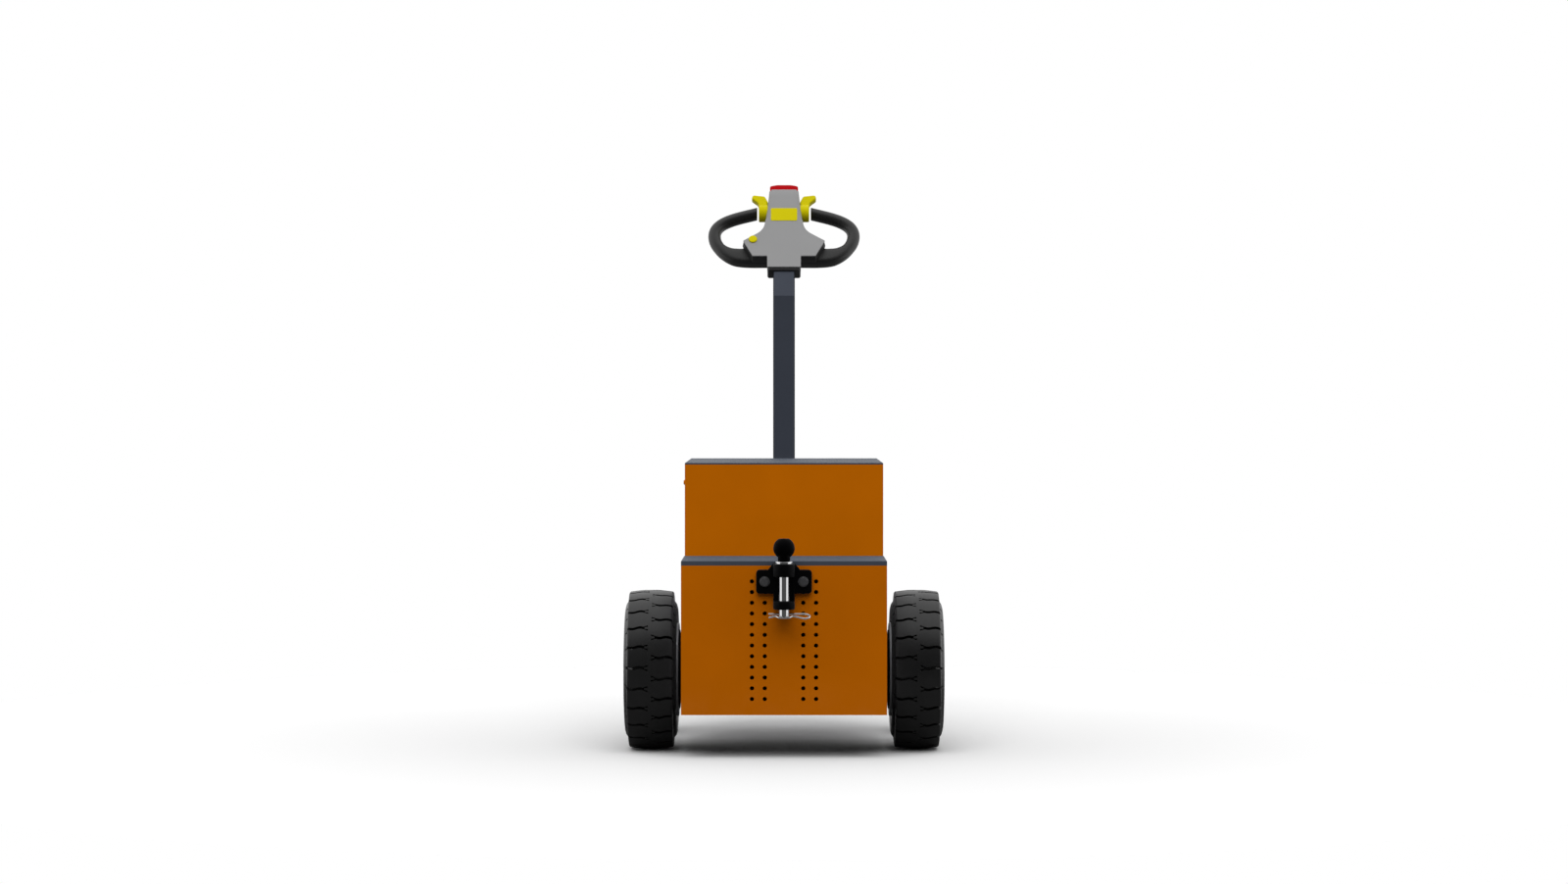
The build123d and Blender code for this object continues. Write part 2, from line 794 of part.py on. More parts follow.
# Top cover: flat lid with a stiffening rim inside the box, two finger slots and the
# middle knuckles of its hinges
lid_inset = rim_flange_w + lid_rim_gap
with BuildPart() as top_cover:
    with BuildSketch(level(box_top_z)):
        with Locations((0, box_mid_y)):
            RectangleRounded(box_w, box_l, lid_corner_r)
    extrude(amount=lid_t)
    chamfer(top_cover.faces().sort_by(Axis.Z)[-1].edges(), length=min(lid_edge, lid_t / 3))
    with BuildSketch(level(box_top_z)):
        with Locations((0, ledge_y + finger_behind)):
            with GridLocations(2 * finger_x, 0, 2, 1):
                SlotOverall(finger_l, finger_w)
    extrude(amount=lid_t, mode=Mode.SUBTRACT)
    with BuildSketch(level(box_top_z)):
        with Locations((0, box_mid_y)):
            Rectangle(box_w - 2 * lid_inset, box_l - 2 * lid_inset)
            Rectangle(
                box_w - 2 * lid_inset - 2 * lid_rim_t,
                box_l - 2 * lid_inset - 2 * lid_rim_t,
                mode=Mode.SUBTRACT,
            )
    extrude(amount=-lid_rim_h)
    for side in (-1, 1):
        with BuildSketch(along(side * hinge_x - knuckle_l / 2)):
            with Locations((hinge_y, hinge_z)):
                Circle(hinge_r)
            with Locations((hinge_y - hinge_behind, box_top_z + lid_t / 2)):
                Rectangle(2 * hinge_behind, lid_t)
            with Locations((hinge_y, hinge_z)):
                Circle(hinge_pin_r + running_fit, mode=Mode.SUBTRACT)
        extrude(amount=knuckle_l)
save(top_cover, "top_cover")

# Drive wheels
groove_step = 360.0 / groove_count
rim_out = rim_half_w + rim_t
for node_side, out in (("left", -1), ("right", 1)):
    wheel_mid = (out * wheel_x, axle_y, tyre_r)
    axle = Axis(wheel_mid, (1, 0, 0))

    # Solid tyre, with moulded grooves from each shoulder, staggered side to side.
    # Half section, each row: half width, radius
    half_section = (
        (crown_half_w, tyre_r),
        (tread_half_w, tyre_r - crown_drop),
        (tyre_half_w, shoulder_r),
        (tyre_half_w - sidewall_in, sidewall_r),
        (rim_half_w, rim_flange_r),
        (rim_half_w, rim_seat_r),
    )
    with BuildPart() as drive_tyre:
        with BuildSketch(spin_plane(*wheel_mid, out)):
            with BuildLine():
                Polyline(
                    *half_section,
                    *[(-half_w, radius) for half_w, radius in reversed(half_section)],
                    close=True,
                )
            make_face()
        revolve(axis=axle)
        groove_l = tyre_half_w - crown_half_w + cut_past
        for face_side, phase in ((-1, 0.0), (1, groove_step / 2)):
            for step in range(groove_count):
                turn = radians(phase + step * groove_step)
                spoke = Vector(0, cos(turn), sin(turn))
                with BuildSketch(
                    Plane(
                        origin=Vector(*wheel_mid) + spoke * (tyre_r + cut_past),
                        x_dir=(face_side, 0, 0),
                        z_dir=spoke,
                    )
                ):
                    with Locations((crown_half_w + groove_l / 2, 0)):
                        Rectangle(groove_l, groove_w)
        extrude(amount=-(groove_depth + cut_past), mode=Mode.SUBTRACT)
    save(drive_tyre, f"drive_tyre_{node_side}")

    # Pressed rim with its dished disc
    with BuildPart() as wheel_rim:
        with BuildSketch(spin_plane(*wheel_mid, out)):
            with BuildLine():
                Polyline(
                    (-rim_out, rim_flange_r),
                    (-rim_half_w, rim_flange_r),
                    (-rim_half_w, rim_seat_r),
                    (rim_half_w, rim_seat_r),
                    (rim_half_w, rim_flange_r),
                    (rim_out, rim_flange_r),
                    (rim_out, rim_seat_r - rim_t),
                    (disc_x + disc_t + disc_dish, rim_seat_r - rim_t),
                    (disc_x + disc_t, hub_flange_r),
                    (disc_x + disc_t, hub_bore_r),
                    (disc_x, hub_bore_r),
                    (disc_x, hub_flange_r),
                    (disc_x + disc_dish, rim_seat_r - rim_t),
                    (-rim_out, rim_seat_r - rim_t),
                    close=True,
                )
            make_face()
        revolve(axis=axle)
    save(wheel_rim, f"wheel_rim_{node_side}")

    # Hub with its shaft, and five wheel nuts
    with BuildPart() as wheel_hub:
        with BuildSketch(spin_plane(*wheel_mid, out)):
            with BuildLine():
                Polyline(
                    (shaft_end_x, 0),
                    (shaft_end_x, shaft_r),
                    (sleeve_end_x, shaft_r),
                    (sleeve_end_x, hub_sleeve_r),
                    (hub_x, hub_sleeve_r),
                    (hub_x, hub_flange_r),
                    (disc_x, hub_flange_r),
                    (disc_x, hub_nose_r),
                    (disc_x + hub_nose_l - hub_nose_chamfer, hub_nose_r),
                    (disc_x + hub_nose_l, hub_nose_r - hub_nose_chamfer),
                    (disc_x + hub_nose_l, 0),
                    close=True,
                )
            make_face()
        revolve(axis=axle)
        nut_face = face_plane(out * (wheel_x + disc_x + disc_t), axle_y, tyre_r, out)
        with BuildSketch(nut_face):
            with PolarLocations(nut_circle_r, nut_count):
                RegularPolygon(nut_r, 6)
        extrude(amount=nut_h)
    save(wheel_hub, f"wheel_hub_{node_side}")

# Castors
fork_in = castor_core_w / 2 + fork_gap
fork_out = fork_in + fork_t
wheel_y = castor_y - castor_trail
race_z = plate_z - castor_plate_t
crown_z = race_z - race_h - race_gap
for node_side, out in (("left", -1), ("right", 1)):
    swivel = (out * castor_x, castor_y)
    wheel_mid = (out * castor_x, wheel_y, castor_r)
    axle = Axis(wheel_mid, (1, 0, 0))

    # Top plate with the swivel's neck and race
    with BuildPart() as castor_plate:
        with BuildSketch(level(plate_z)):
            with Locations(swivel):
                RectangleRounded(castor_plate_w, castor_plate_l, castor_plate_r)
                with GridLocations(castor_hole_w, castor_hole_l, 2, 2):
                    Circle(castor_hole_r, mode=Mode.SUBTRACT)
        extrude(amount=-castor_plate_t)
        for top_z, radius in ((race_z, race_neck_r), (race_z - race_h / 2, race_r)):
            with BuildSketch(level(top_z)):
                with Locations(swivel):
                    Circle(radius)
            extrude(amount=-race_h / 2)
    save(castor_plate, f"castor_plate_{node_side}")

    # Fork: crown under the race, two legs that lean to the wheel's axle
    with BuildPart() as castor_fork:
        with BuildSketch(level(crown_z)):
            with Locations(swivel):
                Rectangle(2 * fork_out, 2 * race_r)
        extrude(amount=-fork_crown_t)
        for end in (-1, 1):
            with BuildSketch(along(out * castor_x + end * fork_in)):
                with BuildLine():
                    Polyline(
                        (castor_y + race_r, crown_z),
                        (castor_y - race_r, crown_z),
                        (wheel_y - fork_leg_r, castor_r),
                        (wheel_y + fork_leg_r, castor_r),
                        close=True,
                    )
                make_face()
                with Locations((wheel_y, castor_r)):
                    Circle(fork_leg_r)
                    Circle(castor_bolt_r, mode=Mode.SUBTRACT)
            extrude(amount=end * fork_t)
    save(castor_fork, f"castor_fork_{node_side}")

    # Axle bolt through the legs
    with BuildPart() as castor_axle:
        with BuildSketch(along(out * castor_x)):
            with Locations((wheel_y, castor_r)):
                Circle(castor_bolt_r)
        extrude(amount=fork_out, both=True)
        for end in (-1, 1):
            with BuildSketch(face_plane(out * castor_x + end * fork_out, wheel_y, castor_r, end)):
                RegularPolygon(castor_bolt_head_r, 6)
            extrude(amount=castor_bolt_head_h)
    save(castor_axle, f"castor_axle_{node_side}")

    # Wheel core: hub, thin web and rim round its bore. Half section, each row: half width, radius
    core_rim_w = castor_w / 2 - castor_core_inset
    half_section = (
        (castor_core_w / 2, castor_bolt_r + running_fit),
        (castor_core_w / 2, castor_hub_r),
        (castor_web_half_t, castor_hub_r + castor_fillet),
        (castor_web_half_t, castor_core_r - 2 * castor_fillet),
        (core_rim_w, castor_core_r - castor_fillet),
        (core_rim_w, castor_core_r),
    )
    with BuildPart() as castor_core:
        with BuildSketch(spin_plane(*wheel_mid, out)):
            with BuildLine():
                Polyline(
                    *half_section,
                    *[(-half_w, radius) for half_w, radius in reversed(half_section)],
                    close=True,
                )
            make_face()
        revolve(axis=axle)
    save(castor_core, f"castor_core_{node_side}")

    # Rubber tread on the core
    with BuildPart() as castor_tread:
        with BuildSketch(spin_plane(*wheel_mid, out)):
            with Locations((0, (castor_core_r + castor_r) / 2)):
                Rectangle(castor_w, castor_r - castor_core_r)
        revolve(axis=axle)
        rims = castor_tread.edges().filter_by(GeomType.CIRCLE).sort_by(SortBy.RADIUS)[-2:]
        chamfer(rims, length=min(castor_edge, (castor_r - castor_core_r) / 2))
    save(castor_tread, f"castor_tread_{node_side}")

# Tiller stem: bent rectangular tube on a round foot
tan_half = sin(lean) / (1 + cos(lean))


def stem_outline(half_depth):
    """Side outline of the bent stem, half_depth each side of its middle line."""
    top_y = pivot_y + head_foot * sin(lean)
    top_z = bend_z + head_foot * cos(lean)
    return (
        (pivot_y - half_depth, pivot_z),
        (pivot_y + half_depth, pivot_z),
        (pivot_y + half_depth, bend_z - half_depth * tan_half),
        (top_y + half_depth * cos(lean), top_z - half_depth * sin(lean)),
        (top_y - half_depth * cos(lean), top_z + half_depth * sin(lean)),
        (pivot_y - half_depth, bend_z + half_depth * tan_half),
    )


with BuildPart() as tiller_stem:
    with BuildSketch(along(0)):
        with BuildLine():
            Polyline(*stem_outline(stem_d / 2), close=True)
        make_face()
    extrude(amount=stem_w / 2, both=True)
    side_faces = tiller_stem.faces().filter_by(Axis.X)
    long_edges = [edge for face in side_faces for edge in face.edges().sort_by(SortBy.LENGTH)[2:]]
    fillet(long_edges, radius=stem_edge_r)
    with BuildSketch(along(0)):
        with BuildLine():
            Polyline(*stem_outline(stem_d / 2 - stem_t), close=True)
        make_face()
    extrude(amount=stem_w / 2 - stem_t, both=True, mode=Mode.SUBTRACT)
    for radius, mode in ((foot_r, Mode.ADD), (pivot_r + running_fit, Mode.SUBTRACT)):
        with BuildSketch(along(0)):
            with Locations((pivot_y, pivot_z)):
                Circle(radius)
        extrude(amount=foot_w / 2, both=True, mode=mode)
save(tiller_stem, "tiller_stem")

# Tiller head: a flared plate of two wings, with the tower and foot block lofted up
# through it, a boss each side for the levers and a recess for the horn bar.
# Tower sections, each row: up the stem, width, depth
tower_sections = (
    (head_foot, block_w, head_back + head_face),
    (block_top, block_w, head_back + head_face),
    (horn_level, horn_level_w, head_back + head_face),
    (head_top, tower_top_w, tower_top_d),
)
face_axis = Axis(head_plane().origin, head_plane().z_dir)
up_axis = Axis(head_plane().origin, head_plane().y_dir)
with BuildPart() as tiller_head:
    with BuildSketch(head_plane(wing_back)) as wings:
        for side in (-1, 1):
            with BuildLine():
                ThreePointArc(
                    (side * horn_level_w / 2, horn_level),
                    (side * flare_x, flare_up),
                    (side * wing_half_w, wing_top),
                )
                Polyline(
                    (side * wing_half_w, wing_top),
                    (side * wing_half_w, wing_tip),
                    (side * wing_foot_half_w, wing_foot),
                    (0, wing_foot),
                    (0, horn_level),
                    (side * horn_level_w / 2, horn_level),
                )
            make_face()
        fillet(wings.vertices(), radius=wing_corner_r)
    extrude(amount=wing_face - wing_back)
    fillet(tiller_head.faces().sort_by(face_axis)[-1].edges(), radius=wing_edge_r)
    for (low, low_w, low_d), (high, high_w, high_d) in zip(tower_sections, tower_sections[1:]):
        for up, width, depth in ((low, low_w, low_d), (high, high_w, high_d)):
            with BuildSketch(stem_section(up, head_face - depth / 2)):
                RectangleRounded(width, depth, tower_edge_r)
        loft()
    for side in (-1, 1):
        with BuildSketch(face_plane(side * block_x, *head_side(lever_up), -side)):
            Circle(lever_boss_r)
        extrude(amount=block_x)
    with BuildSketch(head_plane(head_face)):
        with Locations((0, horn_up)):
            RectangleRounded(
                2 * (horn_half_len + horn_fit), horn_h + 2 * horn_fit, horn_corner_r + horn_fit
            )
    extrude(amount=-horn_recess, mode=Mode.SUBTRACT)
save(tiller_head, "tiller_head")

# Head collar: dark sleeve round the back and sides of the stem, under the head
with BuildPart() as head_collar:
    with BuildSketch(stem_section(collar_foot, (collar_front - collar_back) / 2)):
        RectangleRounded(2 * collar_half_w, collar_back + collar_front, stem_edge_r)
    extrude(amount=head_foot - collar_foot)
    with BuildSketch(head_plane(-stem_d / 2 - collar_fit)):
        with Locations((0, (collar_foot + head_foot) / 2)):
            Rectangle(stem_w + 2 * collar_fit, head_foot - collar_foot)
    extrude(amount=stem_d + collar_back, mode=Mode.SUBTRACT)
save(head_collar, "head_collar")

# Horn bar in the head's recess
with BuildPart() as horn_bar:
    with BuildSketch(head_plane(head_face - horn_recess)):
        with Locations((0, horn_up)):
            RectangleRounded(2 * horn_half_len, horn_h, horn_corner_r)
    extrude(amount=horn_t)
    fillet(horn_bar.faces().sort_by(face_axis)[-1].edges(), radius=horn_t / 4)
save(horn_bar, "horn_bar")

# Belly button: crowned cap on the head's top end
with BuildPart() as belly_button:
    with BuildSketch(head_plane(-belly_back)):
        with BuildLine():
            Polyline(
                (-belly_half_w, head_top + belly_h - belly_rise),
                (-belly_half_w, head_top),
                (belly_half_w, head_top),
                (belly_half_w, head_top + belly_h - belly_rise),
            )
            ThreePointArc(
                (belly_half_w, head_top + belly_h - belly_rise),
                (0, head_top + belly_h),
                (-belly_half_w, head_top + belly_h - belly_rise),
            )
        make_face()
    extrude(amount=belly_back + belly_face)
    crown = belly_button.faces().sort_by(up_axis)[-1]
    fillet(crown.edges(), radius=belly_edge_r)
save(belly_button, "belly_button")

# Round button on the left wing
with BuildPart() as round_button:
    with BuildSketch(head_plane(wing_face)):
        with Locations((-button_x, button_up)):
            Circle(button_r)
    extrude(amount=button_h)
    chamfer(round_button.faces().sort_by(face_axis)[-1].edges(), length=button_h / 4)
save(round_button, "round_button")

for node_side, side in (("left", -1), ("right", 1)):
    # Thumb lever: hub on the head's boss and a paddle that curves up and outward
    with BuildPart() as thumb_lever:
        with BuildSketch(head_plane(-lever_t / 2)):
            with BuildLine():
                FilletPolyline(
                    (side * block_x, lever_up),
                    (side * block_x, lever_back_up),
                    (side * lever_shoulder_x, lever_top),
                    (side * lever_tip_x, lever_top),
                    (side * lever_tip_x, lever_tip_foot),
                    (side * hub_end_x, lever_waist_up),
                    (side * hub_end_x, lever_up),
                    radius=[lever_back_r, lever_shoulder_r, lever_tip_r, lever_tip_r, lever_waist_r],
                )
                Line((side * hub_end_x, lever_up), (side * block_x, lever_up))
            make_face()
        extrude(amount=lever_t)
        paddle_faces = thumb_lever.faces().sort_by(face_axis)
        for paddle_face in (paddle_faces[0], paddle_faces[-1]):
            fillet(paddle_face.edges().sort_by(up_axis)[1:], radius=lever_edge_r)
        with BuildSketch(face_plane(side * block_x, *head_side(lever_up), side)):
            Circle(lever_hub_r)
        extrude(amount=lever_hub_w)
    save(thumb_lever, f"thumb_lever_{node_side}")

# Hoop grips: a bent bar from its free end beside the lever, round and back to the head's
# foot block, where it widens. The left one mirrors the right one.
# Root sections, each row: out from the block, height
grip_face = wing_back - grip_gap - grip_r
root_sections = ((0.0, grip_root_h), (grip_swell_l, grip_swell_h), (grip_root_l, 2 * grip_r))
with BuildPart() as hoop_grip:
    with BuildLine(head_plane(grip_face)) as grip_path:
        FilletPolyline(
            (grip_end_x, grip_end_up),
            (grip_crest_x, grip_crest_up),
            (grip_side_x, grip_side_up),
            (grip_low_x, grip_low_up),
            (block_x + grip_swell_l / 2, grip_root_up),
            radius=[grip_crest_r, grip_side_r, grip_low_r],
        )
    with BuildSketch(Plane(origin=grip_path.line @ 0, z_dir=grip_path.line % 0)):
        Circle(grip_r)
    sweep()
    for (near, near_h), (far, far_h) in zip(root_sections, root_sections[1:]):
        for reach, height in ((near, near_h), (far, far_h)):
            middle = head_point(block_x + reach, grip_root_up, grip_face)
            with BuildSketch(Plane(origin=middle, x_dir=head_plane().y_dir, z_dir=(1, 0, 0))):
                RectangleRounded(height, 2 * grip_r, grip_root_edge_r)
        loft()
save(hoop_grip, "hoop_grip_right")
with BuildPart() as left_hoop_grip:
    mirror(hoop_grip.part, about=Plane.YZ)
save(left_hoop_grip, "hoop_grip_left")
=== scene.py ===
from math import cos, pi, radians, sin

import bmesh
import bpy
import numpy as np
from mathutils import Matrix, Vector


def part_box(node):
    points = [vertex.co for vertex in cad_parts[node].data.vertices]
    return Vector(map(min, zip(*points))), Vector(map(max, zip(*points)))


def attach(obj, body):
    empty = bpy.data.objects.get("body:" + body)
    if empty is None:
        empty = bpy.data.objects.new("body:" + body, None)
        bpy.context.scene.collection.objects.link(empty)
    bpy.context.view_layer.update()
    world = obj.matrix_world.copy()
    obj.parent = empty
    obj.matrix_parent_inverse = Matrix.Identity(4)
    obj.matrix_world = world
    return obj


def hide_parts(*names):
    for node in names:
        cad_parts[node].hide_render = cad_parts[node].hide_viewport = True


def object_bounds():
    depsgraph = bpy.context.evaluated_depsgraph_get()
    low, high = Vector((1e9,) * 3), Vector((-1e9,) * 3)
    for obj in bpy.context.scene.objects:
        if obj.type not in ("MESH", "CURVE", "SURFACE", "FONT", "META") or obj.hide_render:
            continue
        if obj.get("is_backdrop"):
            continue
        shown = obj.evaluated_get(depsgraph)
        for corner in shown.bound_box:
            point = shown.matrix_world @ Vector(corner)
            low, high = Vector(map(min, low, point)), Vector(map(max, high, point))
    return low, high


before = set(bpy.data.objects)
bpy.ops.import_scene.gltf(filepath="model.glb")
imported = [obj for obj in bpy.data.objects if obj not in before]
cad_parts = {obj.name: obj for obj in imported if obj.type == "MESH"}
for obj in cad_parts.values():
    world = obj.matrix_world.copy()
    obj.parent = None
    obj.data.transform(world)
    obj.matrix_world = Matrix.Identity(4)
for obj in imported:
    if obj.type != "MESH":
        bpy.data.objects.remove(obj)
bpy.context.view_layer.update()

# Bodywork: folded and welded sheet steel, powder coated orange, with a 12 mm hitch plate
# in front. The drive box, the battery box on its deck and the small round lock on its
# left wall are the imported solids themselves, and get their coat here.


def effect(name, inputs, outputs):
    """Empty shader node group, with the nodes that hold its inputs and outputs."""
    group = bpy.data.node_groups.new(name, "ShaderNodeTree")
    for socket, kind, value in inputs:
        made = group.interface.new_socket(socket, in_out="INPUT", socket_type=kind)
        made.default_value = value
    for socket, kind in outputs:
        group.interface.new_socket(socket, in_out="OUTPUT", socket_type=kind)
    return group, group.nodes.new("NodeGroupInput"), group.nodes.new("NodeGroupOutput")


def node(tree, kind, links=(), **settings):
    """New shader node. Each link is (input, source), where the source is a socket or a plain
    value, and each setting is an input's value or one of the node's own."""
    made = tree.nodes.new(kind)
    for key, value in settings.items():
        if key in made.inputs:
            made.inputs[key].default_value = value
        else:
            setattr(made, key, value)
    for key, source in links:
        if isinstance(source, bpy.types.NodeSocket):
            tree.links.new(source, made.inputs[key])
        else:
            made.inputs[key].default_value = source
    return made


def ramp(tree, source, start, end, low=0.0, high=1.0):
    """Socket that runs from low, where source is at start, to high, where it is at end."""
    ends = (("From Min", start), ("From Max", end), ("To Min", low), ("To Max", high))
    return node(tree, "ShaderNodeMapRange", ((0, source), *ends)).outputs[0]


def result(tree, operation, *values, **settings):
    """Socket with the result of a sum or product of sockets and plain values."""
    made = node(tree, "ShaderNodeMath", enumerate(values), operation=operation, **settings)
    return made.outputs[0]


def blend(tree, share, first, second, kind="RGBA"):
    """Socket that holds first where share is 0 and second where it is 1."""
    inlet, outlet = {"FLOAT": (2, 0), "RGBA": (6, 2)}[kind]
    links = (("Factor", share), (inlet, first), (inlet + 1, second))
    return node(tree, "ShaderNodeMix", links, data_type=kind).outputs[outlet]


# Coat skin: the fine waviness of a sprayed or moulded surface, and slow mottling
coat_skin, entry, leave = effect(
    "coat_skin",
    (("Scale", "NodeSocketFloat", 400.0), ("Stretch", "NodeSocketVector", (1.0, 1.0, 1.0))),
    (("Height", "NodeSocketFloat"), ("Mottle", "NodeSocketFloat")),
)
place = node(coat_skin, "ShaderNodeTexCoord")
drawn = node(
    coat_skin, "ShaderNodeVectorMath",
    ((0, place.outputs["Object"]), (1, entry.outputs["Stretch"])), operation="MULTIPLY",
)
fine = node(
    coat_skin, "ShaderNodeTexNoise",
    (("Vector", drawn.outputs[0]), ("Scale", entry.outputs["Scale"])), Detail=2.0, Roughness=0.45,
)
slow = node(
    coat_skin, "ShaderNodeTexNoise", (("Vector", place.outputs["Object"]),), Scale=7.0, Detail=5.0,
)
coat_skin.links.new(fine.outputs["Fac"], leave.inputs["Height"])
coat_skin.links.new(ramp(coat_skin, slow.outputs["Fac"], 0.3, 0.7), leave.inputs["Mottle"])

# Dust and painted sheen. Dust settles low on the machine and on what faces up, in loose
# patches; on some coats the share on what faces up is a painted sheen, which lightens their
# top faces.
dust_and_sheen, entry, leave = effect(
    "dust_and_sheen",
    (
        ("Reach", "NodeSocketFloat", 0.3), ("Low", "NodeSocketFloat", 0.5),
        ("Up", "NodeSocketFloat", 0.2),
    ),
    (("Dust", "NodeSocketFloat"),),
)
place = node(dust_and_sheen, "ShaderNodeTexCoord")
spot = node(dust_and_sheen, "ShaderNodeSeparateXYZ", ((0, place.outputs["Object"]),))
facing = node(dust_and_sheen, "ShaderNodeSeparateXYZ", ((0, place.outputs["Normal"]),))
low = ramp(dust_and_sheen, spot.outputs["Z"], entry.outputs["Reach"], 0.0)
low = result(dust_and_sheen, "MULTIPLY", low, entry.outputs["Low"])
up_dust_and_sheen = ramp(dust_and_sheen, facing.outputs["Z"], 0.5, 1.0)
up_dust_and_sheen = result(dust_and_sheen, "MULTIPLY", up_dust_and_sheen, entry.outputs["Up"])
clouds = node(
    dust_and_sheen, "ShaderNodeTexNoise", (("Vector", place.outputs["Object"]),), Scale=14.0,
    Detail=8.0, Roughness=0.65,
)
patches = ramp(dust_and_sheen, clouds.outputs["Fac"], 0.38, 0.72)
total = result(dust_and_sheen, "ADD", low, up_dust_and_sheen)
total = result(dust_and_sheen, "MULTIPLY", total, patches, use_clamp=True)
dust_and_sheen.links.new(total, leave.inputs["Dust"])


def finish(name, colour, roughness, grain=400.0, depth=0.00004, mottle=0.08,
           stretch=(1.0, 1.0, 1.0), dust=(0.3, 0.0, 0.0), dust_and_sheen_colour=(0.36, 0.33, 0.29),
           thrown=None, **shader):
    """Material: colour and roughness drift with the mottling, and the fine grain lifts the
    surface by up to depth metres. Dust lies over them, low down and on what faces up, and on
    some coats the share on what faces up is a painted sheen, a lighter colour on the top faces.
    Both are given by how many metres up they reach and how thick they lie low down and on
    what faces up. Thrown is the colour that the coat lends to the surfaces around it, where
    that is not its own. What is the same all over is set on the shader itself."""
    drift, dust_and_sheen_roughness = 0.05, 0.9
    made = bpy.data.materials.new(name)
    made.use_nodes = True
    tree = made.node_tree
    tree.nodes.clear()
    skin = node(
        tree, "ShaderNodeGroup", (("Scale", grain), ("Stretch", stretch)), node_tree=coat_skin,
    )
    mottling = skin.outputs["Mottle"]
    dust_and_sheen_share = node(
        tree, "ShaderNodeGroup", zip(("Reach", "Low", "Up"), dust), node_tree=dust_and_sheen,
    ).outputs["Dust"]
    base = np.array(colour)
    dark, light = (*(base * (1.0 - mottle)), 1.0), (*(base * (1.0 + mottle)), 1.0)
    paint = blend(tree, dust_and_sheen_share, blend(tree, mottling, dark, light), (*dust_and_sheen_colour, 1.0))
    if thrown:
        ray = node(tree, "ShaderNodeLightPath")
        paint = blend(tree, ray.outputs["Is Camera Ray"], (*thrown, 1.0), paint)
    smooth, coarse = max(roughness - drift, 0.02), min(roughness + drift, 1.0)
    rough = ramp(tree, mottling, 0.0, 1.0, smooth, coarse)
    rough = blend(tree, dust_and_sheen_share, rough, dust_and_sheen_roughness, "FLOAT")
    bump = node(
        tree, "ShaderNodeBump", (("Height", skin.outputs["Height"]),), Strength=1.0, Distance=depth,
    )
    coat = node(
        tree, "ShaderNodeBsdfPrincipled",
        (("Base Color", paint), ("Roughness", rough), ("Normal", bump.outputs[0])),
    )
    for key, value in shader.items():
        coat.inputs[key.replace("_", " ")].default_value = value
    node(tree, "ShaderNodeOutputMaterial", ((0, coat.outputs[0]),))
    return made


def dress(material, *nodes):
    """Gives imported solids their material, in every slot that they have."""
    for name in nodes:
        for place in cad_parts[name].material_slots:
            place.material = material


# One coat on all the orange steel. The hitch plate takes a darker copy of it, as painted shade on
# the lower front.
orange = dict(
    roughness=0.5, grain=330.0, depth=0.00006, mottle=0.035, dust=(0.20, 0.05, 0.01),
    thrown=(0.62, 0.60, 0.62), Specular_IOR_Level=0.05,
)
orange_coat = finish("orange_powder_coat", (0.67, 0.168, 0.0), **orange)
dress(orange_coat, "chassis_shell", "battery_box", "side_lock")
# Painted shade: the same orange at about nine tenths of its brightness, on the hitch plate
shaded_plate_coat = finish("orange_coat_painted_shade", (0.60, 0.148, 0.0), **orange)
dress(shaded_plate_coat, "hitch_plate")

# Belly pan: flat black sheet with cooling slots, screwed up under the drive box, and the
# cast drive unit behind it, which carries the wheel shafts.
black_paint = finish("belly_paint", (0.022, 0.022, 0.024), 0.55, grain=500.0, dust=(0.3, 0.6, 0.0))
dress(black_paint, "belly_pan")
housing_iron = finish(
    "housing_iron", (0.13, 0.13, 0.14), 0.62, grain=260.0, depth=0.00025, mottle=0.15,
    dust=(0.35, 0.4, 0.3), Metallic=0.4,
)
dress(housing_iron, "drive_unit")

# Ledge cover and lid: folded sheet with a fine textured blue-grey powder coat. The lid lies
# on the battery box with a stiffening rim inside it, and two finger slots show it opens.
# Painted sheen: the share on what faces up, in pale blue, lightens the cover's top faces against
# its turned-down lips
cover_coat = finish(
    "cover_powder_coat", (0.062, 0.073, 0.095), 0.56, grain=900.0, depth=0.00012, mottle=0.06,
    dust=(0.3, 0.0, 0.045), dust_and_sheen_colour=(0.26, 0.34, 0.50), Specular_IOR_Level=0.25,
)
dress(cover_coat, "ledge_cover", "top_cover")

# Batteries and lid hinges: two black cases with lead posts in the box, and zinc plated
# hinges whose leaves are screwed to the rear wall, each with two round-headed screws.
case_plastic = finish(
    "battery_case", (0.03, 0.03, 0.033), 0.5, grain=700.0, depth=0.0001, dust=(0.9, 0.05, 0.1),
)
dress(case_plastic, "batteries")
zinc = finish(
    "zinc_plate", (0.56, 0.57, 0.58), 0.34, grain=420.0, depth=0.00003, mottle=0.10,
    dust=(0.25, 0.25, 0.05), Metallic=1.0,
)
dress(zinc, "lid_hinges")


